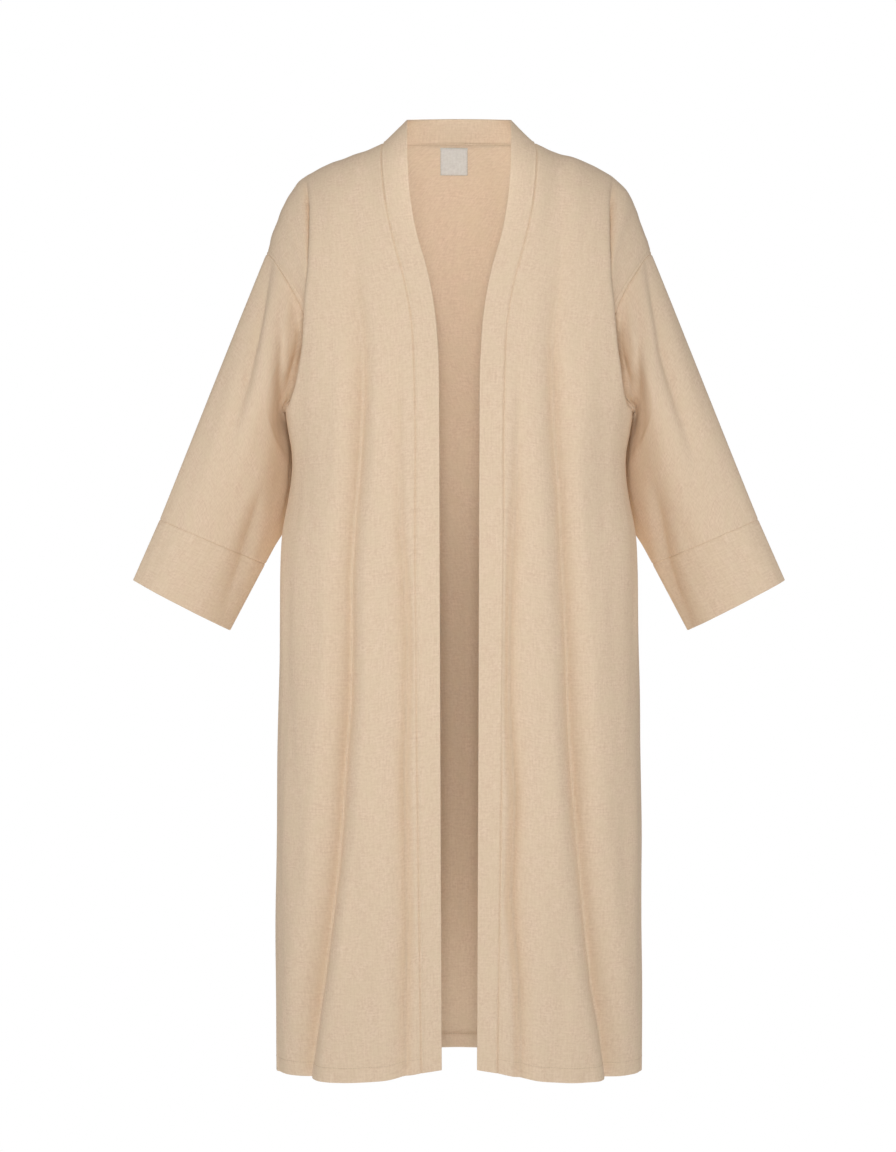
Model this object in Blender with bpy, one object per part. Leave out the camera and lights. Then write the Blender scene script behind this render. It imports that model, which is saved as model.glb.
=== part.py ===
"""An open-front abaya cloak in plain linen, filled out as when it is worn.

Metres, +Z up. The front faces -Y and the wearer's right is on -X. The height
zero is the point where the neck meets the shoulder. Every piece is a wall of
cloth round a hollow: the neck, front opening, hem and cuffs stay open.
"""

import math
from collections import namedtuple

import bmesh
import bpy
import numpy as np

COLLECTION = "abaya_cloak"

# Walls of cloth. The band and the cuffs are two layers of cloth, so they are thicker.
BODY_WALL = 0.0015
BAND_WALL = 0.0024
CUFF_WALL = 0.0022
HEM_WALL = 0.0030
LABEL_WALL = 0.0010
HEM_HEIGHT = 0.0190
HEM_STEP = 0.0020
HEM_ROWS = 2
SEAM_HALF_GAP = 0.00018
BAND_HALF_GAP = 0.00038
# How far the sleeve's first ring is moved out from the side of the body.
ARMHOLE_LIFT = 0.00022
MITRE_LIMIT = 0.6
LEAN_SHARED = 0.68
LEAN_APART = 0.30
SAME_POINT = 0.00001
SEWN_SHUT = 0.000001

# The net of rows and columns that every piece shares with its neighbours.
HIGH_ROWS = 10
FRONT_COLUMNS = 20
NECK_COLUMNS = 6
SLEEVE_ROWS = 14
CUFF_ROWS = 4
BAND_COLUMNS = 3
ARC_SAMPLES = 90
SEARCH_SAMPLES = 2001
SHOULDER_SAMPLES = 200
# The turns round the body that hold its front half and its side.
FRONT_TURNS = (0.0, 0.5)
SIDE_TURNS = (0.35, 0.65)
BACK_EASING = 24
STILL_COLUMNS = 7

# Sections of the body below the underarm, from the hem up.
Section = namedtuple("Section", "height half_width front_depth back_depth back_power seam_depth")
SECTIONS = [
    Section(-1.229, 0.2425, 0.136, 0.136, 2.4, -0.030),
    Section(-1.073, 0.2425, 0.134, 0.135, 2.4, -0.030),
    Section(-0.738, 0.2394, 0.131, 0.133, 2.3, -0.028),
    Section(-0.664, 0.2380, 0.129, 0.132, 2.2, -0.024),
    Section(-0.577, 0.2373, 0.128, 0.131, 2.1, -0.014),
    Section(-0.519, 0.2343, 0.127, 0.130, 2.0, -0.007),
    Section(-0.473, 0.2257, 0.126, 0.130, 2.0, 0.000),
    Section(-0.432, 0.2214, 0.125, 0.130, 2.0, 0.003),
    Section(-0.414, 0.2220, 0.124, 0.130, 2.0, 0.005),
    Section(-0.385, 0.2268, 0.123, 0.130, 2.0, 0.008),
    Section(-0.360, 0.2308, 0.123, 0.130, 2.0, 0.010),
]
FRONT_POWER = 2.5

# Heights of the rows below the underarm at the side seam; the lowest two bound the hem turn-up.
ROW_HEIGHTS = [
    -1.229, -1.229 + HEM_HEIGHT, -1.229 + HEM_HEIGHT + HEM_STEP, -1.150, -1.080, -1.000, -0.920,
    -0.840, -0.765, -0.695, -0.630, -0.570, -0.520, -0.475, -0.440, -0.412, -0.385, -0.360,
]

# Height of the hem by the turn round the body: 0 is the front centre, 1 the back centre.
HemPoint = namedtuple("HemPoint", "turn height")
HEM = [
    HemPoint(0.00, -1.209),
    HemPoint(0.03, -1.2125),
    HemPoint(0.10, -1.2235),
    HemPoint(0.16, -1.2275),
    HemPoint(0.28, -1.229),
    HemPoint(0.50, -1.229),
    HemPoint(0.75, -1.228),
    HemPoint(1.00, -1.226),
]
FRONT_CENTRE_HOLLOW = 0.10
FRONT_CENTRE_SPREAD = 0.075

# Half widths of the opening at the seam of the front band and at its free edge.
EdgePoint = namedtuple("EdgePoint", "height half_width")
BAND_SEAM = [
    EdgePoint(-1.229, 0.0490), EdgePoint(-0.556, 0.0570), EdgePoint(-0.334, 0.0577),
    EdgePoint(-0.285, 0.0594), EdgePoint(-0.248, 0.0618), EdgePoint(-0.215, 0.0668),
    EdgePoint(-0.180, 0.0744), EdgePoint(-0.139, 0.0857), EdgePoint(-0.090, 0.0960),
    EdgePoint(-0.055, 0.1001), EdgePoint(-0.009, 0.1015), EdgePoint(0.000, 0.1000),
]
BAND_EDGE = [
    EdgePoint(-1.229, 0.0225), EdgePoint(-0.556, 0.0251), EdgePoint(-0.374, 0.0257),
    EdgePoint(-0.310, 0.0262), EdgePoint(-0.260, 0.0286), EdgePoint(-0.218, 0.0336),
    EdgePoint(-0.185, 0.0398), EdgePoint(-0.147, 0.0510), EdgePoint(-0.108, 0.0598),
    EdgePoint(-0.069, 0.0650), EdgePoint(-0.013, 0.0680), EdgePoint(0.033, 0.0690),
]
LOWEST = min(point.height for point in HEM)
UNDERARM_HEIGHT = -0.360
MIRROR = np.array([-1.0, 1.0, 1.0])
NECK_HALF_WIDTH = 0.1000
NECK_BACK_DEPTH = 0.0750
NECK_BACK_RISE = 0.0090
COLLAR_HALF_WIDTH = 0.0690
COLLAR_SIDE_DEPTH = 0.0120
COLLAR_SIDE_RISE = 0.0330
COLLAR_BACK_RISE = 0.0470
COLLAR_LEAN = 0.0020

# The shoulder seam on one side, from the neck out to the top of the sleeve.
ShoulderPoint = namedtuple("ShoulderPoint", "half_width height")
SHOULDER = [
    ShoulderPoint(0.1000, 0.0000), ShoulderPoint(0.1258, -0.0114), ShoulderPoint(0.1487, -0.0190),
    ShoulderPoint(0.1768, -0.0293), ShoulderPoint(0.1946, -0.0382), ShoulderPoint(0.2072, -0.0458),
    ShoulderPoint(0.2200, -0.0585), ShoulderPoint(0.2302, -0.0738), ShoulderPoint(0.2378, -0.0916),
    ShoulderPoint(0.2442, -0.1120), ShoulderPoint(0.2506, -0.1300), ShoulderPoint(0.2565, -0.1480),
]

# The armhole: a ring from the shoulder seam down to the underarm.
ARMHOLE_TOP = (0.2565, 0.000, -0.148)
ARMHOLE_LOW = (0.2305, 0.010, -0.360)
ARMHOLE_HOLLOW = 0.034
ARMHOLE_FRONT = 0.062
ARMHOLE_BACK = 0.075

# The sleeve's lower rings: outer and inner corners, with the half depth between them.
SLEEVE_OUTER = (0.3983, 0.004, -0.5007)
SLEEVE_INNER = (0.2600, 0.036, -0.5597)
CUFF_OUTER = (0.4340, 0.004, -0.5815)
CUFF_INNER = (0.3070, 0.034, -0.6489)
SLEEVE_HALF_DEPTH = 0.036
CUFF_HALF_DEPTH = 0.031
RING_POWER = 1.35
# How the cloth of the sleeve leaves the armhole and comes to the cuff.
LEAVE_TOP = (0.1427, 0.000, -0.353)
LEAVE_LOW = (0.180, 0.050, -0.070)
LEAVE_SWELL_FRONT = (0.130, -0.050, 0.030)
LEAVE_SWELL_BACK = (0.130, 0.050, 0.030)
ARRIVE_TOP = (0.1427, 0.000, -0.353)
ARRIVE_LOW = (0.180, -0.020, -0.130)
SLEEVE_CLEARANCE = 0.0045
CLEARANCE_RAMP = 10
# The lowest line of the sleeve: it drops behind the side of the body, then swings out to the cuff.
UnderarmPoint = namedtuple("UnderarmPoint", "step x y z")
UNDERARM_LINE = [
    UnderarmPoint(0.00, 0.2305, 0.010, -0.3600), UnderarmPoint(0.08, 0.2312, 0.0210, -0.3772),
    UnderarmPoint(0.18, 0.2222, 0.0390, -0.4000), UnderarmPoint(0.32, 0.2142, 0.052, -0.4320),
    UnderarmPoint(0.50, 0.2155, 0.056, -0.4690), UnderarmPoint(0.68, 0.2285, 0.053, -0.5030),
    UnderarmPoint(0.84, 0.2458, 0.045, -0.5325), UnderarmPoint(1.00, 0.2600, 0.036, -0.5597),
]
# How closely the cloth beside that line follows it, first at the armhole and then further down.
UNDERARM_POWER_HIGH = 16
UNDERARM_POWER_LOW = 4
UNDERARM_POWER_STEP = 0.35

# Over how many columns a fold fades out at a seam, and its share in the last rows under the shoulder.
FRONT_FADE = 2
BACK_FADE = 3
SHOULDER_FADE = (0.7, 0.3, 0.0)
# The share of the sleeve's length over which its folds fade out at the armhole and at the cuff.
ARMHOLE_FADE = 0.25
CUFF_FADE = 0.2

# Soft folds of the fronts: a line by height, how deep and how wide it lies along the way.
FoldPoint = namedtuple("FoldPoint", "height half_width depth spread")
MAIN_FOLD = {
    -1: [
        FoldPoint(-0.080, 0.1385, 0.001, 0.018), FoldPoint(-0.208, 0.1297, 0.006, 0.016),
        FoldPoint(-0.266, 0.1165, 0.007, 0.015), FoldPoint(-0.332, 0.1190, 0.009, 0.016),
        FoldPoint(-0.497, 0.1319, 0.010, 0.018), FoldPoint(-0.661, 0.1370, 0.012, 0.020),
        FoldPoint(-0.809, 0.1460, 0.013, 0.021), FoldPoint(-0.958, 0.1577, 0.014, 0.022),
        FoldPoint(-1.090, 0.1787, 0.014, 0.022), FoldPoint(-1.229, 0.2040, 0.014, 0.022),
    ],
    1: [
        FoldPoint(-0.089, 0.1313, 0.001, 0.018), FoldPoint(-0.208, 0.1197, 0.006, 0.015),
        FoldPoint(-0.266, 0.1117, 0.007, 0.015), FoldPoint(-0.390, 0.1194, 0.009, 0.016),
        FoldPoint(-0.522, 0.1284, 0.010, 0.018), FoldPoint(-0.661, 0.1361, 0.011, 0.020),
        FoldPoint(-0.801, 0.1425, 0.012, 0.021), FoldPoint(-0.965, 0.1568, 0.013, 0.022),
        FoldPoint(-1.107, 0.1752, 0.014, 0.022), FoldPoint(-1.229, 0.2010, 0.014, 0.022),
    ],
}
BAND_FOLD = {
    -1: [
        FoldPoint(-0.300, 0.0800, 0.000, 0.012), FoldPoint(-0.498, 0.0790, 0.003, 0.012),
        FoldPoint(-0.743, 0.0720, 0.004, 0.012), FoldPoint(-1.028, 0.0730, 0.004, 0.012),
        FoldPoint(-1.229, 0.0750, 0.002, 0.012),
    ],
    1: [
        FoldPoint(-0.300, 0.0780, 0.000, 0.012), FoldPoint(-0.456, 0.0760, 0.003, 0.012),
        FoldPoint(-0.661, 0.0700, 0.004, 0.012), FoldPoint(-0.864, 0.0740, 0.004, 0.012),
        FoldPoint(-1.229, 0.0790, 0.003, 0.012),
    ],
}
# The lip of cloth that stands over the armhole, and the pouch at the underarm.
LIP_FOLD = [
    FoldPoint(-0.060, 0.2040, 0.001, 0.014), FoldPoint(-0.110, 0.2030, 0.006, 0.013),
    FoldPoint(-0.150, 0.2030, 0.009, 0.013), FoldPoint(-0.216, 0.2070, 0.010, 0.013),
    FoldPoint(-0.295, 0.2120, 0.008, 0.013), FoldPoint(-0.350, 0.2190, 0.002, 0.012),
]
BACK_FOLDS = [
    [
        FoldPoint(-0.300, -0.1150, 0.000, 0.022), FoldPoint(-0.600, -0.1300, 0.007, 0.024),
        FoldPoint(-1.229, -0.1560, 0.014, 0.028),
    ],
    [
        FoldPoint(-0.350, -0.0400, 0.000, 0.022), FoldPoint(-0.700, -0.0430, 0.005, 0.024),
        FoldPoint(-1.229, -0.0500, 0.011, 0.027),
    ],
    [
        FoldPoint(-0.350, 0.0520, 0.000, 0.022), FoldPoint(-0.700, 0.0560, 0.006, 0.024),
        FoldPoint(-1.229, 0.0640, 0.012, 0.027),
    ],
    [
        FoldPoint(-0.300, 0.1260, 0.000, 0.022), FoldPoint(-0.600, 0.1380, 0.007, 0.024),
        FoldPoint(-1.229, 0.1620, 0.013, 0.028),
    ],
]
# Folds of the sleeve: where round the ring (0 top, 1 underarm) at each step from armhole to cuff.
SleeveFold = namedtuple("SleeveFold", "step turn depth spread")
SLEEVE_FOLDS = [
    [
        SleeveFold(0.00, 0.22, 0.002, 0.070), SleeveFold(0.25, 0.27, 0.006, 0.070),
        SleeveFold(0.55, 0.33, 0.005, 0.080), SleeveFold(0.80, 0.38, 0.001, 0.080),
    ],
    [
        SleeveFold(0.00, 0.55, 0.000, 0.080), SleeveFold(0.20, 0.60, 0.005, 0.080),
        SleeveFold(0.50, 0.66, 0.004, 0.080), SleeveFold(0.75, 0.72, 0.000, 0.080),
    ],
    [
        SleeveFold(0.00, -0.45, 0.001, 0.080), SleeveFold(0.30, -0.48, 0.006, 0.080),
        SleeveFold(0.70, -0.55, 0.004, 0.080), SleeveFold(0.95, -0.60, 0.000, 0.080),
    ],
]

LABEL_CENTRE = -0.0065
LABEL_SIDE = 0.0370
LABEL_DROP = 0.0040
LABEL_CELLS = 3
LABEL_REACH = 3
LABEL_GAP = 0.0006

CLOTH_COLOUR = (0.745, 0.594, 0.429, 1.0)
LABEL_COLOUR = (0.680, 0.650, 0.610, 1.0)
CLOTH_ROUGHNESS = 0.92
LABEL_ROUGHNESS = 0.70


def unit(vectors):
    """Each vector of an array at length one."""
    length = np.linalg.norm(vectors, axis=-1, keepdims=True)
    return vectors / np.maximum(length, 1e-12)


def glide(at, xs, ys):
    """A smooth curve through the points (xs, ys), read at the given places."""
    xs = np.asarray(xs, float)
    ys = np.asarray(ys, float)
    order = np.argsort(xs)
    xs = xs[order]
    ys = ys[order]
    slope = np.gradient(ys, xs) if len(xs) > 2 else np.full(len(xs), (ys[-1] - ys[0]) / (xs[-1] - xs[0]))
    at = np.clip(np.asarray(at, float), xs[0], xs[-1])
    k = np.clip(np.searchsorted(xs, at) - 1, 0, len(xs) - 2)
    span = xs[k + 1] - xs[k]
    t = (at - xs[k]) / span
    rise = t * t * (3 - 2 * t)
    leave = t * (1 - t) ** 2
    arrive = t * t * (t - 1)
    return ys[k] * (1 - rise) + ys[k + 1] * rise + span * (leave * slope[k] + arrive * slope[k + 1])


def column(rows, name):
    """One named column of a table."""
    return [getattr(row, name) for row in rows]


def read(rows, key, name, at):
    """A table's named column at the given values of its key column."""
    return glide(at, column(rows, key), column(rows, name))


def resample(points, count):
    """Points spread evenly along a line of points."""
    steps = np.linalg.norm(np.diff(points, axis=0), axis=1)
    along = np.concatenate([[0.0], np.cumsum(steps)])
    want = np.linspace(0.0, along[-1], count)
    return np.stack([np.interp(want, along, points[:, k]) for k in range(3)], axis=1)


def body_line(row_height, start, end, count):
    """A row of the body below the underarm, between two turns (0 front centre, 1 back centre)."""
    turn = np.linspace(start, end, count)
    angle = turn * math.pi
    lift = (row_height - UNDERARM_HEIGHT) / (LOWEST - UNDERARM_HEIGHT)
    z = UNDERARM_HEIGHT + (read(HEM, "turn", "height", turn) - UNDERARM_HEIGHT) * lift
    half = read(SECTIONS, "height", "half_width", z)
    front = read(SECTIONS, "height", "front_depth", z)
    back = read(SECTIONS, "height", "back_depth", z)
    power = np.where(turn < 0.5, FRONT_POWER, read(SECTIONS, "height", "back_power", z))
    x = half * np.abs(np.sin(angle)) ** (2 / power)
    reach = np.abs(np.cos(angle)) ** (2 / power)
    y = np.where(turn < 0.5, -front * reach, back * reach)
    hollow = FRONT_CENTRE_HOLLOW * lift * np.exp(-((x / FRONT_CENTRE_SPREAD) ** 2))
    y = np.where(turn < 0.5, y * (1 - hollow), y)
    return np.stack([x, y, z], axis=1)


def turn_at_width(row_height, half_width):
    """The turn at which a row of the front has the given half width."""
    line = body_line(row_height, *FRONT_TURNS, SEARCH_SAMPLES)
    return float(np.interp(half_width, line[:, 0], np.linspace(*FRONT_TURNS, SEARCH_SAMPLES)))


def turn_at_depth(row_height, depth):
    """The turn at which the side of a row stands at the given depth."""
    line = body_line(row_height, *SIDE_TURNS, SEARCH_SAMPLES)
    return float(np.interp(depth, line[:, 1], np.linspace(*SIDE_TURNS, SEARCH_SAMPLES)))


def band_line(turns, rows, half_neck, side_depth, side_rise, front_depth):
    """The upper run of an edge of the band: from the underarm's height up to the neck."""
    top = side_rise
    angle = (1 - turns) * math.pi / 2
    z = UNDERARM_HEIGHT + (top - UNDERARM_HEIGHT) * np.cos(angle)
    x = read(rows, "height", "half_width", z)
    y = -front_depth * np.sin(angle) + side_depth * np.cos(angle)
    x[-1] = half_neck
    return np.stack([x, y, z], axis=1)


def armhole_line(turns, back):
    """The armhole by its turn: 0 at the shoulder seam, 1 at the underarm."""
    angle = turns * math.pi
    top = np.array(ARMHOLE_TOP)
    low = np.array(ARMHOLE_LOW)
    points = top + (low - top) * turns[:, None]
    points[:, 0] -= ARMHOLE_HOLLOW * np.sin(angle) ** 2
    points[:, 1] += (ARMHOLE_BACK if back else -ARMHOLE_FRONT) * np.sin(angle)
    points[:, 2] = top[2] + (low[2] - top[2]) * (1 - np.cos(angle)) / 2
    return points


def fill(bottom, top, inner, outer):
    """A patch between four lines: bottom and top run across, inner and outer run up."""
    u = np.linspace(0.0, 1.0, len(bottom))[None, :, None]
    v = np.linspace(0.0, 1.0, len(inner))[:, None, None]
    across = (1 - v) * bottom[None] + v * top[None]
    up = (1 - u) * inner[:, None] + u * outer[:, None]
    low_corners = (1 - v) * ((1 - u) * bottom[0] + u * bottom[-1])
    high_corners = v * ((1 - u) * top[0] + u * top[-1])
    return across + up - low_corners - high_corners


def ease(net, times, still):
    """The same patch with its middle evened out; its edges and the columns near its sides stay."""
    count = net.shape[1]
    index = np.arange(1, count - 1)
    share = np.clip((np.minimum(index, count - 1 - index) - still) / still, 0.0, 1.0)[None, :, None]
    for _ in range(times):
        around = net[:-2, 1:-1] + net[2:, 1:-1] + net[1:-1, :-2] + net[1:-1, 2:]
        net[1:-1, 1:-1] += (around / 4 - net[1:-1, 1:-1]) * share / 2
    return net


def shoulder_line():
    """The shoulder seam, evenly spread from the neck to the top of the sleeve."""
    half = np.linspace(SHOULDER[0].half_width, SHOULDER[-1].half_width, SHOULDER_SAMPLES)
    z = read(SHOULDER, "half_width", "height", half)
    return resample(np.stack([half, np.zeros(SHOULDER_SAMPLES), z], axis=1), FRONT_COLUMNS + 1)


def neck_line(half_width, side_depth, side_rise, back_depth, back_rise):
    """Half of a line round the back of the neck, from the back centre to the side."""
    angle = np.linspace(math.pi / 2, 0.0, NECK_COLUMNS + 1)
    x = half_width * np.cos(angle)
    y = side_depth + (back_depth - side_depth) * np.sin(angle)
    z = side_rise + (back_rise - side_rise) * np.sin(angle)
    return np.stack([x, y, z], axis=1)


def front_net():
    """The outer face of the front on +X, from the band seam to the side, hem up to shoulder."""
    rows = []
    for height in ROW_HEIGHTS:
        start = turn_at_width(height, float(read(BAND_SEAM, "height", "half_width", height)))
        end = turn_at_depth(height, float(read(SECTIONS, "height", "seam_depth", height)))
        rows.append(resample(body_line(height, start, end, ARC_SAMPLES), FRONT_COLUMNS + 1))
    rows[-1][-1] = ARMHOLE_LOW
    low = np.array(rows)
    turns = np.linspace(0.0, 1.0, HIGH_ROWS + 1)
    inner = band_line(turns, BAND_SEAM, NECK_HALF_WIDTH, 0.0, 0.0, -low[-1][0][1])
    inner[0] = low[-1][0]
    high = fill(low[-1], shoulder_line(), inner, armhole_line(1 - turns, False))
    return np.concatenate([low, high[1:]])


def back_net():
    """The outer face of the back, from the side on +X round to the side on -X."""
    count = NECK_COLUMNS + FRONT_COLUMNS + 1
    rows = []
    for height in ROW_HEIGHTS:
        end = turn_at_depth(height, float(read(SECTIONS, "height", "seam_depth", height)))
        rows.append(resample(body_line(height, 1.0, end, ARC_SAMPLES), count))
    rows[-1][-1] = ARMHOLE_LOW
    low = both_sides(np.array(rows))
    neck = neck_line(NECK_HALF_WIDTH, 0.0, 0.0, NECK_BACK_DEPTH, NECK_BACK_RISE)
    top = both_sides(np.concatenate([neck, shoulder_line()[1:]])[None])[0]
    side = armhole_line(1 - np.linspace(0.0, 1.0, HIGH_ROWS + 1), True)
    deepest = low[-1][count - 1][1]
    bend = np.sin(np.linspace(math.pi / 2, 0.0, HIGH_ROWS + 1))
    centre = np.stack([
        np.zeros(HIGH_ROWS + 1),
        NECK_BACK_DEPTH + (deepest - NECK_BACK_DEPTH) * bend,
        np.linspace(UNDERARM_HEIGHT, NECK_BACK_RISE, HIGH_ROWS + 1),
    ], axis=1)
    half = fill(low[-1][count - 1::-1], top[count - 1::-1], centre, side)
    high = ease(both_sides(half), BACK_EASING, STILL_COLUMNS)
    return np.concatenate([low, high[1:]])


def both_sides(half):
    """A net from the back centre to +X, carried on to -X as well."""
    return np.concatenate([half[:, ::-1], half[:, 1:] * MIRROR], axis=1)


def body_width_at(points):
    """Half width of the body at each point's own height and depth."""
    z = points[..., 2]
    half = read(SECTIONS, "height", "half_width", z)
    front = read(SECTIONS, "height", "front_depth", z)
    back = read(SECTIONS, "height", "back_depth", z)
    power = np.where(points[..., 1] < 0, FRONT_POWER, read(SECTIONS, "height", "back_power", z))
    depth = np.where(points[..., 1] < 0, front, back)
    share = np.clip(np.abs(points[..., 1]) / depth, 0.0, 1.0)
    return half * (1 - share ** power) ** (1 / power)


def ring(outer, inner, half_depth):
    """A flattened ring of the sleeve: underarm, front, outer corner, back, underarm."""
    outer = np.array(outer)
    inner = np.array(inner)
    turns = np.concatenate([np.linspace(1.0, 0.0, HIGH_ROWS + 1), np.linspace(0.0, -1.0, HIGH_ROWS + 1)[1:]])
    angle = turns * math.pi
    centre = (outer + inner) / 2
    points = centre + (outer - centre) * np.cos(angle)[:, None]
    points[:, 1] -= half_depth * np.sign(angle) * np.abs(np.sin(angle)) ** RING_POWER
    return turns, points


def sleeve_net():
    """The outer face of the sleeve on +X, from the armhole down to the cuff seam."""
    turns, end = ring(SLEEVE_OUTER, SLEEVE_INNER, SLEEVE_HALF_DEPTH)
    front = armhole_line(np.linspace(1.0, 0.0, HIGH_ROWS + 1), False)
    back = armhole_line(np.linspace(0.0, 1.0, HIGH_ROWS + 1), True)
    start = np.concatenate([front, back[1:]])
    low = (1 - np.cos(turns * math.pi))[:, None] / 2
    swell = (np.abs(np.sin(turns * math.pi)))[:, None] * low
    leave = np.array(LEAVE_TOP) * (1 - low) + np.array(LEAVE_LOW) * low
    sides = np.where(turns[:, None] > 0, np.array(LEAVE_SWELL_FRONT), np.array(LEAVE_SWELL_BACK))
    leave = leave + sides * swell
    arrive = np.array(ARRIVE_TOP) * (1 - low) + np.array(ARRIVE_LOW) * low
    net = []
    for w in np.linspace(0.0, 1.0, SLEEVE_ROWS + 1):
        rise = w * w * (3 - 2 * w)
        row = start * (1 - rise) + end * rise + leave * w * (1 - w) ** 2 + arrive * w * w * (w - 1)
        lowest = np.array([float(read(UNDERARM_LINE, "step", axis, w)) for axis in "xyz"])
        share = max(0.0, 1 - w / UNDERARM_POWER_STEP)
        power = UNDERARM_POWER_LOW + (UNDERARM_POWER_HIGH - UNDERARM_POWER_LOW) * share
        row = row + (lowest - row[0]) * low ** power
        clear = body_width_at(row) + SLEEVE_CLEARANCE * min(1.0, w * CLEARANCE_RAMP)
        below = row[:, 2] < UNDERARM_HEIGHT
        row[:, 0] = np.where(below, np.maximum(row[:, 0], clear), row[:, 0])
        net.append(row)
    net[-1] = end
    return np.array(net)


def cuff_net():
    """The outer face of the cuff on +X, from the cuff seam to its end."""
    start = ring(SLEEVE_OUTER, SLEEVE_INNER, SLEEVE_HALF_DEPTH)[1]
    end = ring(CUFF_OUTER, CUFF_INNER, CUFF_HALF_DEPTH)[1]
    steps = np.linspace(0.0, 1.0, CUFF_ROWS + 1)[:, None, None]
    return start[None] * (1 - steps) + end[None] * steps


def band_net(right_front, left_front, back):
    """The outer face of the band: up the right edge, round the neck and down the left edge."""
    turns = np.linspace(0.0, 1.0, HIGH_ROWS + 1)
    sides = []
    for sign, front in ((-1, right_front), (1, left_front)):
        seam = front[:, 0]
        edge = []
        for height, point in zip(ROW_HEIGHTS, seam):
            half = float(read(BAND_EDGE, "height", "half_width", height))
            start = turn_at_width(height, half)
            place = body_line(height, start, start, 1)[0]
            edge.append(place * np.array([sign, 1, 1]))
        high = band_line(
            turns, BAND_EDGE, COLLAR_HALF_WIDTH, COLLAR_SIDE_DEPTH, COLLAR_SIDE_RISE, -edge[-1][1]
        )
        high[:, 0] *= sign
        edge = np.concatenate([np.array(edge), high[1:]])
        sides.append((seam, edge))
    neck = back[-1, FRONT_COLUMNS:FRONT_COLUMNS + 2 * NECK_COLUMNS + 1]
    top = neck_line(
        COLLAR_HALF_WIDTH, COLLAR_SIDE_DEPTH, COLLAR_SIDE_RISE, NECK_BACK_DEPTH + COLLAR_LEAN, COLLAR_BACK_RISE
    )
    top = np.concatenate([top[::-1] * MIRROR, top[1:]])
    seam = np.concatenate([sides[0][0][:-1], neck, sides[1][0][::-1][1:]])
    edge = np.concatenate([sides[0][1][:-1], top, sides[1][1][::-1][1:]])
    steps = np.linspace(0.0, 1.0, BAND_COLUMNS + 1)[None, :, None]
    return seam[:, None] * (1 - steps) + edge[:, None] * steps


def outward(net, closed=False):
    """The outward direction at every point of a net, when its columns run on round the body."""
    if closed:
        wide = np.concatenate([net[:, -2:-1], net, net[:, 1:2]], axis=1)
        across = (wide[:, 2:] - wide[:, :-2]) / 2
    else:
        across = np.gradient(net, axis=1)
    up = np.gradient(net, axis=0)
    return unit(np.cross(across, up))


def fold_depth(points, rows, sign):
    """How deep a fold lies at each point, from its table."""
    z = points[..., 2]
    line = read(rows, "height", "half_width", z)
    depth = read(rows, "height", "depth", z)
    spread = read(rows, "height", "spread", z)
    inside = z < max(column(rows, "height"))
    away = (sign * points[..., 0] - line) / spread
    return np.where(inside, depth * np.exp(-away * away), 0.0)


def edge_fade(shape, columns_in, columns_out):
    """A weight that falls to zero at the first and last columns, so that seams stay matched."""
    count = shape[1]
    index = np.arange(count)
    first = np.clip(index / columns_in, 0.0, 1.0) if columns_in else np.ones(count)
    last = np.clip((count - 1 - index) / columns_out, 0.0, 1.0) if columns_out else np.ones(count)
    weight = first * first * (3 - 2 * first) * last * last * (3 - 2 * last)
    return np.tile(weight, (shape[0], 1))


def fold_front(net, sign, outward_way):
    """The fronts' folds, pressed in along the outward direction."""
    depth = fold_depth(net, MAIN_FOLD[sign], sign)
    depth = depth + fold_depth(net, BAND_FOLD[sign], sign)
    high = net[..., 2] > UNDERARM_HEIGHT
    depth = depth + np.where(high, fold_depth(net, LIP_FOLD, sign), 0.0)
    depth = depth * edge_fade(net.shape, FRONT_FADE, FRONT_FADE)
    depth[-len(SHOULDER_FADE):] *= np.array(SHOULDER_FADE)[:, None]
    return net - outward_way * depth[..., None]


def fold_back(net, outward_way):
    """The back's folds."""
    depth = sum(fold_depth(net, rows, 1) for rows in BACK_FOLDS)
    depth = depth * edge_fade(net.shape, BACK_FADE, BACK_FADE)
    return net - outward_way * depth[..., None]


def fold_sleeve(net, outward_way):
    """The sleeve's folds, by the turn round the sleeve."""
    steps = np.linspace(0.0, 1.0, len(net))
    turns = ring(SLEEVE_OUTER, SLEEVE_INNER, SLEEVE_HALF_DEPTH)[0]
    depth = np.zeros(net.shape[:2])
    for rows in SLEEVE_FOLDS:
        place = read(rows, "step", "turn", steps)[:, None]
        deep = read(rows, "step", "depth", steps)[:, None]
        spread = read(rows, "step", "spread", steps)[:, None]
        away = (turns[None] - place) / spread
        inside = (steps < max(column(rows, "step")))[:, None]
        depth += np.where(inside, deep * np.exp(-away * away), 0.0)
    fade = np.clip(steps / ARMHOLE_FADE, 0, 1) * np.clip((1 - steps) / CUFF_FADE, 0, 1)
    return net - outward_way * (depth * fade[:, None])[..., None]


class Piece:
    """A net of outer points with the direction and thickness of its wall."""

    def __init__(self, name, net, wall, closed=False, flip=False):
        self.name = name
        self.net = net
        self.way = outward(net, closed) * (-1 if flip else 1)
        self.wall = np.full(net.shape[:2], wall)
        self.closed = closed


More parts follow.
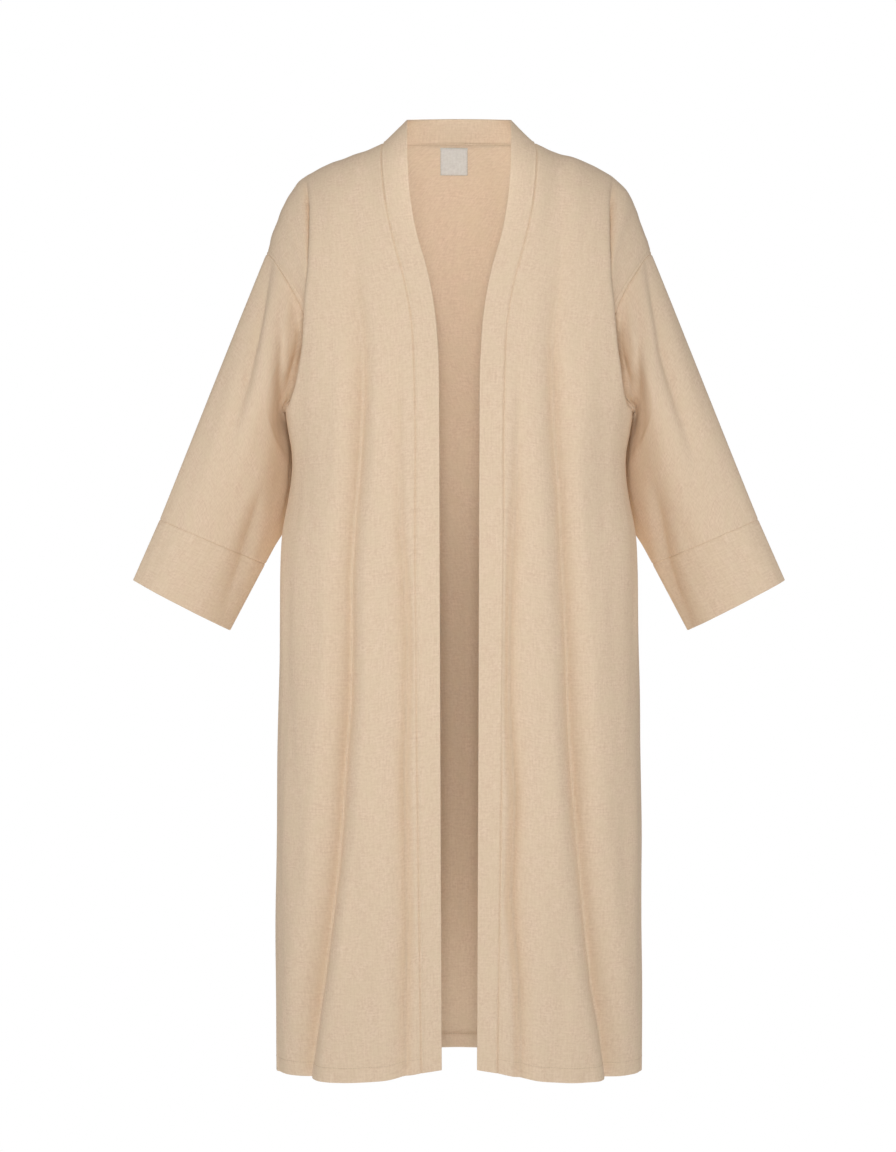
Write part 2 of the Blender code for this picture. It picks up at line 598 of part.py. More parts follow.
def share_seams(pieces):
    """Give the walls that meet at a point one direction, except where they almost lie back to back."""
    meeting = {}
    for piece in pieces:
        rows, columns = piece.net.shape[:2]
        for j in range(rows):
            for i in range(columns):
                if j in (0, rows - 1) or i in (0, columns - 1):
                    key = tuple(np.round(piece.net[j, i] / SAME_POINT).astype(int))
                    meeting.setdefault(key, []).append((piece, j, i))
    for members in meeting.values():
        if len(members) < 2:
            continue
        middle = unit(sum(piece.way[j, i] for piece, j, i in members))
        for piece, j, i in members:
            lean = float(np.dot(piece.way[j, i], middle))
            t = min(max((lean - LEAN_APART) / (LEAN_SHARED - LEAN_APART), 0.0), 1.0)
            weight = t * t * (3 - 2 * t)
            way = unit(piece.way[j, i] * (1 - weight) + middle * weight)
            piece.wall[j, i] /= max(float(np.dot(way, piece.way[j, i])), MITRE_LIMIT)
            piece.way[j, i] = way


def cloth(name, colour, roughness):
    """A plain dull material."""
    material = bpy.data.materials.new(name)
    material.use_nodes = True
    shader = material.node_tree.nodes["Principled BSDF"]
    shader.inputs["Base Color"].default_value = colour
    shader.inputs["Roughness"].default_value = roughness
    material.diffuse_color = colour
    return material


def make_solid(piece, trims, gap, lift, collection, material):
    """A closed wall from a piece's net: the outer face, then the inner face pushed in."""
    net = piece.net.copy()
    for index, inside, axis in trims:
        edge = np.take(piece.net, index, axis=axis)
        step = unit(np.take(piece.net, inside, axis=axis) - edge) * gap
        if axis == 0:
            net[index] += step
        else:
            net[:, index] += step
    net[0, :, 0] += lift
    rows, columns = net.shape[:2]
    bm = bmesh.new()
    bmesh.ops.create_grid(bm, x_segments=columns - 1, y_segments=rows - 1, size=0.5)
    layer = bm.verts.layers.float_vector.new("inward")
    for vert in bm.verts:
        i = round((vert.co.x + 0.5) * (columns - 1))
        j = round((vert.co.y + 0.5) * (rows - 1))
        vert.co = net[j, i]
        vert[layer] = -piece.way[j, i] * piece.wall[j, i]
    if piece.closed:
        bmesh.ops.remove_doubles(bm, verts=bm.verts, dist=SEWN_SHUT)
    walls = bmesh.ops.extrude_face_region(bm, geom=bm.faces[:])
    for part in walls["geom"]:
        if isinstance(part, bmesh.types.BMVert):
            part.co += part[layer]
    bmesh.ops.triangulate(bm, faces=bm.faces[:], quad_method="SHORT_EDGE")
    bmesh.ops.recalc_face_normals(bm, faces=bm.faces)
    mesh = bpy.data.meshes.new(piece.name)
    bm.to_mesh(mesh)
    bm.free()
    mesh.materials.append(material)
    made = bpy.data.objects.new(piece.name, mesh)
    collection.objects.link(made)
    return made


def label_piece(back, middle):
    """The label on the inner face of the back, made from the back's own points."""
    inner = back.net - back.way * (back.wall + LABEL_GAP)[..., None]
    top_row = len(inner) - 1
    across = inner[top_row - 1:top_row + 1, middle - LABEL_REACH:middle + LABEL_REACH + 1]
    half = LABEL_SIDE / 2
    net = []
    for drop in np.linspace(LABEL_DROP + LABEL_SIDE, LABEL_DROP, LABEL_CELLS + 1):
        row = []
        for x in np.linspace(LABEL_CENTRE + half, LABEL_CENTRE - half, LABEL_CELLS + 1):
            top = np.array([np.interp(-x, -across[1, :, 0], across[1, :, k]) for k in range(3)])
            low = np.array([np.interp(-x, -across[0, :, 0], across[0, :, k]) for k in range(3)])
            row.append(top + unit(low - top) * drop)
        net.append(row)
    return Piece("label", np.array(net), LABEL_WALL)


def main():
    for old in list(bpy.data.objects):
        bpy.data.objects.remove(old, do_unlink=True)
    collection = bpy.data.collections.new(COLLECTION)
    bpy.context.scene.collection.children.link(collection)

    # Nets on +X run from the middle out; each is turned so that its columns run the same way round.
    left_front = front_net()
    left_front = fold_front(left_front, 1, outward(left_front))
    right_front = front_net() * MIRROR
    right_front = fold_front(right_front, -1, -outward(right_front))
    plain_back = back_net()
    back = fold_back(plain_back, outward(plain_back))
    sleeve = sleeve_net()
    sleeve = fold_sleeve(sleeve, -outward(sleeve, True))
    cuff = cuff_net()

    pieces = {
        "back_panel": Piece("back_panel", back, BODY_WALL),
        "left_front": Piece("left_front", left_front, BODY_WALL),
        "right_front": Piece("right_front", right_front, BODY_WALL, flip=True),
    }
    pieces["left_sleeve"] = Piece("left_sleeve", sleeve, BODY_WALL, closed=True, flip=True)
    pieces["right_sleeve"] = Piece("right_sleeve", sleeve * MIRROR, BODY_WALL, closed=True)
    pieces["left_cuff"] = Piece("left_cuff", cuff, CUFF_WALL, closed=True, flip=True)
    pieces["right_cuff"] = Piece("right_cuff", cuff * MIRROR, CUFF_WALL, closed=True)
    band = band_net(right_front, left_front, plain_back[:, ::-1])
    pieces["front_band"] = Piece("front_band", band, BAND_WALL)

    # The hem turn-up: the lowest two rows of the panels are thicker, inwards.
    for name in ("back_panel", "left_front", "right_front"):
        pieces[name].wall[:HEM_ROWS] = HEM_WALL

    trims = {
        "back_panel": [(0, 1, 1), (-1, -2, 1), (-1, -2, 0)],
        "left_front": [(0, 1, 1), (-1, -2, 1), (-1, -2, 0)],
        "right_front": [(0, 1, 1), (-1, -2, 1), (-1, -2, 0)],
        "left_sleeve": [(0, 1, 0), (-1, -2, 0)],
        "right_sleeve": [(0, 1, 0), (-1, -2, 0)],
        "left_cuff": [(0, 1, 0)],
        "right_cuff": [(0, 1, 0)],
        "front_band": [(0, 1, 1)],
    }
    lifts = {"left_sleeve": ARMHOLE_LIFT, "right_sleeve": -ARMHOLE_LIFT}
    linen = cloth("linen_cloth", CLOTH_COLOUR, CLOTH_ROUGHNESS)
    satin = cloth("label_cloth", LABEL_COLOUR, LABEL_ROUGHNESS)

    share_seams(pieces.values())
    for name, piece in pieces.items():
        gap = BAND_HALF_GAP if name == "front_band" else SEAM_HALF_GAP
        make_solid(piece, trims[name], gap, lifts.get(name, 0.0), collection, linen)
    middle = (back.shape[1] - 1) // 2
    make_solid(label_piece(pieces["back_panel"], middle), [], 0.0, 0.0, collection, satin)


main()
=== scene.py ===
"""An open-front abaya cloak in plain linen, filled out as it is when worn."""

import math
from collections import namedtuple

import bmesh
import bpy
import numpy as np
from bpy.props import FloatProperty, FloatVectorProperty, IntProperty, PointerProperty, StringProperty
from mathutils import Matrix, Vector


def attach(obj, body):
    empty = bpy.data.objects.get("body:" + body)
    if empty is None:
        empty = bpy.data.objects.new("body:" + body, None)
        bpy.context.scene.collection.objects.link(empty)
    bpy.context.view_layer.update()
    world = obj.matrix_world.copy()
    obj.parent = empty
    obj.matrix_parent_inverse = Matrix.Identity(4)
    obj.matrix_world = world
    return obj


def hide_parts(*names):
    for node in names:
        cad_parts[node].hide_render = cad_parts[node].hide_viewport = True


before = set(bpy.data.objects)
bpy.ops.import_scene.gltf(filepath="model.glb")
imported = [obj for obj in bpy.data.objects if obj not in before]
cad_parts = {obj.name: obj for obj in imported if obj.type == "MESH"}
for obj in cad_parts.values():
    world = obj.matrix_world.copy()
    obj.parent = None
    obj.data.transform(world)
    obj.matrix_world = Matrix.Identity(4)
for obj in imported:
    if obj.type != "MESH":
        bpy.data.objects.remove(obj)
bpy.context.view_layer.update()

bl_info = {
    "name": "Abaya cloak",
    "version": (1, 0, 0),
    "blender": (4, 5, 0),
    "location": "View3D > Sidebar > Cloak",
    "description": "Cuts, sews and lights an open-front linen cloak",
    "category": "Object",
}

BODY = "root"
FRONTS = ("left_front", "right_front")
PANELS = ("back_panel",) + FRONTS
SLEEVES = ("left_sleeve", "right_sleeve")
CUFFS = ("left_cuff", "right_cuff")
MIRROR = np.array([-1.0, 1.0, 1.0])


def rows_of(kind, rows):
    """A table's rows as named tuples."""
    return [kind(*row) for row in rows]


# Sections of the body below the underarm, from the hem up.
Section = namedtuple("Section", "height half_width front_depth back_depth back_power seam_depth")
SECTIONS = rows_of(Section, (
    (-1.229, 0.2425, 0.136, 0.136, 2.4, -0.03), (-1.073, 0.2425, 0.134, 0.135, 2.4, -0.03),
    (-0.738, 0.2394, 0.131, 0.133, 2.3, -0.028), (-0.664, 0.238, 0.129, 0.132, 2.2, -0.024),
    (-0.577, 0.2373, 0.128, 0.131, 2.1, -0.014), (-0.519, 0.2343, 0.127, 0.13, 2.0, -0.007),
    (-0.473, 0.2257, 0.126, 0.13, 2.0, 0.0), (-0.432, 0.2214, 0.125, 0.13, 2.0, 0.003),
    (-0.414, 0.222, 0.124, 0.13, 2.0, 0.005), (-0.385, 0.2268, 0.123, 0.13, 2.0, 0.008),
    (-0.36, 0.2308, 0.123, 0.13, 2.0, 0.01),
))
FRONT_POWER = 2.5
HEM_HEIGHT = 0.0190
HEM_STEP = 0.0020
UNDERARM_HEIGHT = -0.360
ROW_HEIGHTS = [
    -1.229, -1.229 + HEM_HEIGHT, -1.229 + HEM_HEIGHT + HEM_STEP, -1.150, -1.080, -1.000, -0.920,
    -0.840, -0.765, -0.695, -0.630, -0.570, -0.520, -0.475, -0.440, -0.412, -0.385, -0.360,
]
HIGH_ROWS = 10
FRONT_COLUMNS = 20
NECK_COLUMNS = 6
SLEEVE_ROWS = 14
CUFF_ROWS = 4
BAND_COLUMNS = 3
ARC_SAMPLES = 90
BACK_EASING = 24
STILL_COLUMNS = 7

# Height of the hem by the turn round the body: 0 is the front centre, 1 the back centre.
HemPoint = namedtuple("HemPoint", "turn height")
HEM = rows_of(HemPoint, (
    (0.0, -1.209), (0.03, -1.2125), (0.1, -1.2235), (0.16, -1.2275), (0.28, -1.229), (0.5, -1.229),
    (0.75, -1.228), (1.0, -1.226),
))
LOWEST = min(point.height for point in HEM)
FRONT_CENTRE_HOLLOW = 0.10
FRONT_CENTRE_SPREAD = 0.075

# Half widths of the opening at the seam of the front band and at its free edge.
EdgePoint = namedtuple("EdgePoint", "height half_width")
BAND_SEAM = rows_of(EdgePoint, (
    (-1.229, 0.049), (-0.556, 0.057), (-0.334, 0.0577), (-0.285, 0.0594), (-0.248, 0.0618),
    (-0.215, 0.0668), (-0.18, 0.0744), (-0.139, 0.0857), (-0.09, 0.096), (-0.055, 0.1001),
    (-0.009, 0.1015), (0.0, 0.1),
))
BAND_EDGE = rows_of(EdgePoint, (
    (-1.229, 0.0225), (-0.556, 0.0251), (-0.374, 0.0257), (-0.31, 0.0262), (-0.26, 0.0286),
    (-0.218, 0.0336), (-0.185, 0.0398), (-0.147, 0.051), (-0.108, 0.0598), (-0.069, 0.065),
    (-0.013, 0.068), (0.033, 0.069),
))
NECK_HALF_WIDTH = 0.1000
NECK_BACK_DEPTH = 0.0750
NECK_BACK_RISE = 0.0090
COLLAR_HALF_WIDTH = 0.0690
COLLAR_SIDE_DEPTH = 0.0120
COLLAR_SIDE_RISE = 0.0330
COLLAR_BACK_RISE = 0.0445
COLLAR_LEAN = 0.0020

# The shoulder seam on one side, from the neck out to the top of the sleeve.
ShoulderPoint = namedtuple("ShoulderPoint", "half_width height")
SHOULDER = rows_of(ShoulderPoint, (
    (0.1, 0.0), (0.1258, -0.0114), (0.1487, -0.019), (0.1768, -0.0293), (0.1946, -0.0382),
    (0.2072, -0.0458), (0.22, -0.0585), (0.2302, -0.0738), (0.2378, -0.0916), (0.2442, -0.112),
    (0.2506, -0.13), (0.2565, -0.148),
))
ARMHOLE_TOP = (0.2565, 0.000, -0.148)
ARMHOLE_LOW = (0.2305, 0.010, -0.360)
ARMHOLE_HOLLOW = 0.034
ARMHOLE_FRONT = 0.062
ARMHOLE_BACK = 0.075
SLEEVE_OUTER = (0.3983, 0.004, -0.5007)
SLEEVE_INNER = (0.2600, 0.036, -0.5597)
CUFF_OUTER = (0.4340, 0.004, -0.5815)
CUFF_INNER = (0.3070, 0.034, -0.6489)
SLEEVE_HALF_DEPTH = 0.036
CUFF_HALF_DEPTH = 0.031
RING_POWER = 1.35
LEAVE_TOP = (0.1427, 0.000, -0.353)
LEAVE_LOW = (0.180, 0.050, -0.070)
LEAVE_SWELL_FRONT = (0.130, -0.050, 0.030)
LEAVE_SWELL_BACK = (0.130, 0.050, 0.030)
ARRIVE_TOP = (0.1427, 0.000, -0.353)
ARRIVE_LOW = (0.180, -0.020, -0.130)
SLEEVE_CLEARANCE = 0.0012
CLEARANCE_RAMP = 10
# The lowest line of the sleeve: it drops behind the side of the body, then swings out to the cuff.
UnderarmPoint = namedtuple("UnderarmPoint", "step x y z")
UNDERARM_LINE = rows_of(UnderarmPoint, (
    (0.0, 0.2305, 0.01, -0.36), (0.04, 0.2284, 0.024, -0.369), (0.08, 0.2255, 0.034, -0.3772),
    (0.18, 0.218, 0.044, -0.4), (0.32, 0.211, 0.054, -0.432), (0.5, 0.2135, 0.058, -0.469),
    (0.68, 0.2275, 0.054, -0.503), (0.84, 0.2458, 0.045, -0.5325), (1.0, 0.26, 0.036, -0.5597),
))
UNDERARM_POWER_HIGH = 16
UNDERARM_POWER_LOW = 4
UNDERARM_POWER_STEP = 0.35

# How finely each cell of the cut is divided, with closer lines beside edges and seams.
ROW_CELL = 0.0062
PANEL_CELL = 4
RING_CELL = 6
SLEEVE_CELL = 5
CUFF_CELL = 6
BAND_CELL = 4
EDGE_LINES = (0.0004, 0.0009, 0.0015, 0.0023, 0.0034, 0.0050)

# Walls of the cloth as it shows.
CLOTH_WALL = 0.0009
BAND_WALL = 0.0018
CUFF_WALL = 0.0017
HEM_WALL = 0.0021
LABEL_WALL = 0.0005
LABEL_GAP = 0.0008
LABEL_CREASE = 0.22
# How many times closer together the cloth's unevenness lies on the label, as its light creases.
LABEL_CREASES_ACROSS = 5
LABEL_CREASES_DOWN = 4
LABEL_LIGHT = "#E2DFD9"
LABEL_DARK = "#D3CFC8"
LABEL_RELIEF = 0.1
LABEL_LINES = 13
# Only this far from the middle is the back searched for the label's place.
LABEL_SEARCH = 0.06
LABEL_CENTRE = -0.0065
LABEL_SIDE = 0.0370
LABEL_DROP = 0.0040
MITRE_LIMIT = 0.6
LEAN_SHARED = 0.68
LEAN_APART = 0.30
SAME_POINT = 0.00001

# Folds drawn on the cloth: each is a line of points with how deep it is and how far it
# spreads to the left and right of its line, looking down the line, where +X lies on the left.
FoldPoint = namedtuple("FoldPoint", "x z depth left right")
# Tenths of a millimetre in a metre.
TENTHS = 10000


def fold_lines(table):
    """Drawn folds by name as lists of fold points, from rows in tenths of a millimetre."""
    found = {}
    for name, rows in table.items():
        found[name] = [FoldPoint(*(value / TENTHS for value in row)) for row in rows]
    return found


FRONT_FOLDS = fold_lines({
    "right_main": (
        (-1385, -600, 7, 230, 230), (-1370, -1400, 44, 200, 240), (-1340, -2080, 86, 170, 230),
        (-1265, -2660, 102, 140, 190), (-1265, -3320, 161, 130, 190), (-1330, -4220, 169, 140, 190),
        (-1394, -4970, 179, 140, 190), (-1445, -5790, 199, 150, 200), (-1445, -6610, 217, 150, 200),
        (-1471, -7430, 226, 160, 200), (-1535, -8090, 236, 160, 220), (-1587, -8920, 245, 160, 230),
        (-1652, -9580, 254, 160, 230), (-1757, -10310, 264, 160, 240), (-1862, -10900, 274, 170, 240),
        (-1968, -11480, 274, 170, 260), (-2115, -12400, 274, 180, 260),
    ),
    "left_main": (
        (1325, -600, 7, 230, 230), (1325, -1650, 55, 230, 190), (1270, -2080, 90, 220, 160),
        (1212, -2660, 106, 180, 140), (1230, -3160, 149, 180, 130), (1269, -3900, 158, 190, 140),
        (1320, -4560, 166, 190, 140), (1359, -5220, 186, 200, 150), (1397, -5880, 196, 200, 150),
        (1436, -6610, 213, 200, 150), (1461, -7360, 223, 200, 160), (1500, -8010, 223, 220, 160),
        (1565, -8820, 232, 220, 160), (1643, -9650, 241, 230, 160), (1735, -10400, 250, 230, 170),
        (1827, -11070, 260, 240, 170), (1933, -11560, 260, 240, 170), (2085, -12400, 260, 260, 180),
    ),
    "right_band": (
        (-810, -3000, 0, 70, 180), (-802, -3570, 42, 70, 180), (-776, -4980, 95, 70, 180),
        (-711, -5790, 115, 70, 180), (-675, -6610, 130, 70, 180), (-685, -7430, 121, 70, 180),
        (-710, -8250, 137, 70, 180), (-670, -10280, 130, 70, 180), (-690, -11100, 107, 70, 180),
        (-700, -12400, 65, 70, 180),
    ),
    "left_band": (
        (780, -3000, 0, 180, 70), (767, -3570, 42, 180, 70), (741, -4560, 95, 180, 70),
        (665, -5790, 121, 180, 70), (640, -6610, 130, 180, 70), (640, -7430, 130, 180, 70),
        (710, -8640, 144, 180, 70), (660, -9870, 130, 180, 70), (764, -11100, 121, 180, 70),
        (780, -12400, 79, 180, 70),
    ),
})
# The front of the body folds over the top of the sleeve: each line has a steep side towards the
# middle and a long soft one over the armhole seam, and the steep side leans out over it.
LIP_FOLDS = fold_lines({
    "right_lip": (
        (-2060, -400, 0, 50, 200), (-2030, -660, 40, 50, 220), (-2005, -900, 85, 45, 240),
        (-1990, -1300, 120, 40, 240), (-2000, -1750, 135, 40, 240), (-2045, -2160, 145, 40, 220),
        (-2065, -2400, 150, 40, 210), (-2090, -2700, 150, 40, 200), (-2140, -3000, 145, 40, 180),
        (-2205, -3280, 120, 50, 150), (-2270, -3480, 40, 60, 100),
    ),
    "left_lip": (
        (2070, -440, 0, 200, 50), (2035, -700, 40, 220, 50), (2015, -980, 80, 240, 45),
        (2000, -1400, 115, 240, 40), (2010, -1850, 130, 240, 40), (2050, -2200, 140, 220, 40),
        (2070, -2450, 145, 210, 40), (2095, -2750, 145, 200, 40), (2145, -3040, 140, 180, 40),
        (2210, -3310, 115, 150, 50), (2270, -3500, 40, 100, 60),
    ),
})
# A drawn fold reaches this many times its spread, with a bottom rounded by this much.
FOLD_REACH = 1.7
FOLD_BOTTOM = 0.0013
# Farther from a fold than any point of the cloak.
FAR_AWAY = 1e9
# Topstitching beside the armhole: its distance from the seam, and the groove that it presses.
TOPSTITCH_IN = 0.0045
TOPSTITCH_DEPTH = 0.0008
TOPSTITCH_SPREAD = 0.0011
TOPSTITCH_FADE = 0.02
# The band's seam allowance lies under it and lifts it in a low ridge beside the seam.
BAND_RIDGE = 0.0008
BAND_RIDGE_IN = 0.0024
BAND_RIDGE_SPREAD = 0.0012
# The sharp groove at the bottom of a lip's valley, as a share of the valley's depth, and how far
# the lip's steep side leans out over it.
LIP_GROOVE = 1.3
LIP_GROOVE_REACH = 0.0100
LIP_DEPTH = 0.012
LIP_LEAN = 0.0045
LIP_LEAN_AT = 0.0045
LIP_LEAN_SPREAD = 0.0040
BACK_FOLDS = fold_lines({
    "outer_right": (
        (-1100, -2600, 0, 200, 200), (-1240, -4800, 45, 200, 240), (-1330, -7200, 80, 200, 260),
        (-1440, -9800, 110, 210, 290), (-1560, -12400, 135, 220, 300),
    ),
    "inner_right": (
        (-360, -3300, 0, 200, 200), (-400, -6000, 35, 200, 240), (-450, -9000, 75, 200, 260),
        (-500, -12400, 105, 220, 280),
    ),
    "inner_left": (
        (500, -3600, 0, 220, 200), (530, -6200, 40, 240, 200), (590, -9200, 80, 260, 200),
        (640, -12400, 115, 280, 220),
    ),
    "outer_left": (
        (1180, -2500, 0, 220, 200), (1320, -5000, 45, 240, 200), (1400, -7600, 80, 260, 200),
        (1520, -10000, 105, 280, 210), (1620, -12400, 130, 300, 220),
    ),
})
# Folds of a sleeve's front and back, drawn on each side of the cloak.
SLEEVE_FRONT_FOLDS = fold_lines({
    "right_long": (
        (-2470, -1400, 18, 80, 120), (-2590, -1970, 81, 80, 140), (-2687, -2570, 108, 80, 150),
        (-2806, -3170, 99, 90, 160), (-2939, -3670, 63, 100, 180), (-3060, -4200, 9, 120, 180),
    ),
    "right_short": (
        (-2320, -1950, 8, 80, 120), (-2365, -2450, 53, 80, 120), (-2355, -2900, 79, 80, 120),
        (-2320, -3350, 79, 90, 110), (-2290, -3800, 26, 90, 90),
    ),
    "right_recess": (
        (-2250, -3500, 17, 60, 50), (-2225, -3850, 76, 60, 50), (-2195, -4200, 110, 60, 50),
        (-2205, -4600, 127, 60, 60), (-2290, -4950, 102, 60, 60), (-2420, -5300, 26, 60, 70),
    ),
    "right_cuff_fold": (
        (-2620, -4600, 7, 80, 120), (-2690, -4900, 72, 80, 130), (-2790, -5250, 90, 90, 140),
        (-2880, -5520, 72, 100, 140), (-3050, -6000, 36, 120, 160), (-3160, -6400, 14, 120, 160),
    ),
    "left_long": (
        (2460, -1480, 18, 120, 80), (2580, -2140, 81, 140, 80), (2700, -2820, 104, 150, 80),
        (2872, -3420, 94, 160, 90), (3045, -4000, 54, 180, 100), (3190, -4500, 7, 180, 120),
    ),
    "left_short": (
        (2330, -2000, 8, 120, 80), (2375, -2520, 49, 120, 80), (2360, -2950, 75, 120, 80),
        (2325, -3380, 75, 110, 90), (2295, -3800, 26, 90, 90),
    ),
    "left_recess": (
        (2250, -3500, 17, 50, 60), (2225, -3850, 72, 50, 60), (2195, -4250, 102, 50, 60),
        (2205, -4620, 119, 60, 60), (2290, -4950, 93, 60, 60), (2420, -5300, 26, 70, 60),
    ),
    "left_cuff_fold": (
        (2560, -4520, 7, 120, 80), (2634, -4910, 76, 130, 80), (2750, -5510, 90, 140, 90),
        (2880, -5920, 65, 140, 100), (3030, -6230, 36, 160, 120), (3100, -6450, 14, 160, 120),
    ),
})
SLEEVE_BACK_FOLDS = fold_lines({
    "right_elbow": (
        (-2500, -2000, 5, 100, 140), (-2700, -2900, 55, 110, 160), (-2960, -4000, 50, 120, 170),
        (-3200, -4900, 10, 120, 180),
    ),
    "left_elbow": (
        (2480, -1900, 5, 140, 100), (2660, -2800, 50, 160, 110), (2920, -3900, 55, 170, 120),
        (3180, -4900, 10, 180, 120),
    ),
})
# Slow unevenness of the hanging cloth: wave length across and along, height and phase. Each wave
# wanders sideways as it goes down, by DRIFT in its phase.
Ripple = namedtuple("Ripple", "across along height phase")
RIPPLES = rows_of(Ripple, (
    (0.071, 0.92, 0.0011, 0.4), (0.043, 0.61, 0.0006, 2.1), (0.118, 0.27, 0.0008, 4.0),
    (0.027, 0.33, 0.00022, 1.3), (0.019, 0.19, 0.00012, 5.2),
))
DRIFT = 0.6
DRIFT_LENGTH = 2.3
DRIFT_PHASE = 1.7
ALONG_PHASE = 2.3
# The unevenness and the back's folds fade out over this distance from a seam.
SEAM_FADE = 0.02
BAND_FADE = 0.01
# Where each piece starts in the pattern of the unevenness, so that no two are alike.
LEFT_FRONT_SHIFT = 0.31
RIGHT_ARM_SHIFT = 0.4
BACK_SHIFT = 0.7
BAND_SHIFT = 0.2
# How strong the unevenness is on a piece, and how its width is stretched.
ARM_SHARE = 0.7
ARM_ROUND = 0.42
BAND_SHARE = 0.35
BAND_STRETCH = 0.5
# A sleeve's folds fade out towards its top edge and its underarm, by its turn from 0 to 1.
TOP_FADE = 12
UNDERARM_FADE = 8
# How far the cloth dips beside a seam: more at the band's, less at the back of the neck.
SEAM_PRESS = 0.0008
SEAM_SPREAD = 0.0013
BAND_SEAM_SHARE = 1.6
NECK_SEAM_SHARE = 0.4
# Two nets that meet share their gap over this many lines.
EASE_LINES = 10
# Corners that lie this near each other are one point.
CORNER_REACH = 0.004
# A folded edge turns in by this share of a full round, and its wall never gets thinner than this.
EDGE_ROUNDING = 0.9
THINNEST_WALL = 0.00025
# Samples on a row of the body, and on the shoulder seam, when a place is looked up on them.
FRONT_SAMPLES = 2001
SIDE_SAMPLES = 1201
SIDE_TURNS = (0.35, 0.65)
SHOULDER_SAMPLES = 200
# Two fine lines stay at least this share of a cell apart.
CLOSEST_LINES = 0.02


def linear(code):
    """An sRGB hex colour as linear values."""
    parts = [int(code[k:k + 2], 16) / 255 for k in (1, 3, 5)]
    return [p / 12.92 if p <= 0.04045 else ((p + 0.055) / 1.055) ** 2.4 for p in parts] + [1.0]


def unit(vectors):
    """Each vector of an array at length one."""
    length = np.linalg.norm(vectors, axis=-1, keepdims=True)
    return vectors / np.maximum(length, 1e-12)


def glide(at, xs, ys):
    """A smooth curve through the points (xs, ys), read at the given places."""
    xs = np.asarray(xs, float)
    ys = np.asarray(ys, float)
    order = np.argsort(xs)
    xs = xs[order]
    ys = ys[order]
    slope = np.gradient(ys, xs) if len(xs) > 2 else np.full(len(xs), (ys[-1] - ys[0]) / (xs[-1] - xs[0]))
    at = np.clip(np.asarray(at, float), xs[0], xs[-1])
    k = np.clip(np.searchsorted(xs, at) - 1, 0, len(xs) - 2)
    span = xs[k + 1] - xs[k]
    t = (at - xs[k]) / span
    rise = t * t * (3 - 2 * t)
    leave = t * (1 - t) ** 2
    arrive = t * t * (t - 1)
    return ys[k] * (1 - rise) + ys[k + 1] * rise + span * (leave * slope[k] + arrive * slope[k + 1])


def column(rows, name):
    """One named column of a table."""
    return [getattr(row, name) for row in rows]


def read(rows, key, name, at):
    """A table's named column at the given values of its key column."""
    return glide(at, column(rows, key), column(rows, name))


def resample(points, count):
    """Points spread evenly along a line of points."""
    steps = np.linalg.norm(np.diff(points, axis=0), axis=1)
    along = np.concatenate([[0.0], np.cumsum(steps)])
    want = np.linspace(0.0, along[-1], count)
    return np.stack([np.interp(want, along, points[:, k]) for k in range(3)], axis=1)


def body_line(row_height, start, end, count):
    """A row of the body below the underarm, between two turns (0 front centre, 1 back centre)."""
    turn = np.linspace(start, end, count)
    angle = turn * math.pi
    lift = (row_height - UNDERARM_HEIGHT) / (LOWEST - UNDERARM_HEIGHT)
    z = UNDERARM_HEIGHT + (read(HEM, "turn", "height", turn) - UNDERARM_HEIGHT) * lift
    half = read(SECTIONS, "height", "half_width", z)
    front = read(SECTIONS, "height", "front_depth", z)
    back = read(SECTIONS, "height", "back_depth", z)
    power = np.where(turn < 0.5, FRONT_POWER, read(SECTIONS, "height", "back_power", z))
    x = half * np.abs(np.sin(angle)) ** (2 / power)
    reach = np.abs(np.cos(angle)) ** (2 / power)
    y = np.where(turn < 0.5, -front * reach, back * reach)
    hollow = FRONT_CENTRE_HOLLOW * lift * np.exp(-((x / FRONT_CENTRE_SPREAD) ** 2))
    y = np.where(turn < 0.5, y * (1 - hollow), y)
    return np.stack([x, y, z], axis=1)


def turn_at_width(row_height, half_width):
    """The turn at which a row of the front has the given half width."""
    line = body_line(row_height, 0.0, 0.5, FRONT_SAMPLES)
    return float(np.interp(half_width, line[:, 0], np.linspace(0.0, 0.5, FRONT_SAMPLES)))


def turn_at_depth(row_height, depth):
    """The turn at which the side of a row stands at the given depth."""
    line = body_line(row_height, *SIDE_TURNS, SIDE_SAMPLES)
    return float(np.interp(depth, line[:, 1], np.linspace(*SIDE_TURNS, SIDE_SAMPLES)))


def band_line(turns, rows, half_neck, side_depth, side_rise, front_depth):
    """The upper run of an edge of the band: from the underarm's height up to the neck."""
    angle = (1 - turns) * math.pi / 2
    z = UNDERARM_HEIGHT + (side_rise - UNDERARM_HEIGHT) * np.cos(angle)
    x = read(rows, "height", "half_width", z)
    y = -front_depth * np.sin(angle) + side_depth * np.cos(angle)
    x[-1] = half_neck
    return np.stack([x, y, z], axis=1)


def armhole_line(turns, back):
    """The armhole by its turn: 0 at the shoulder seam, 1 at the underarm."""
    angle = turns * math.pi
    top = np.array(ARMHOLE_TOP)
    low = np.array(ARMHOLE_LOW)
    points = top + (low - top) * turns[:, None]
    points[:, 0] -= ARMHOLE_HOLLOW * np.sin(angle) ** 2
    points[:, 1] += (ARMHOLE_BACK if back else -ARMHOLE_FRONT) * np.sin(angle)
    points[:, 2] = top[2] + (low[2] - top[2]) * (1 - np.cos(angle)) / 2
    return points


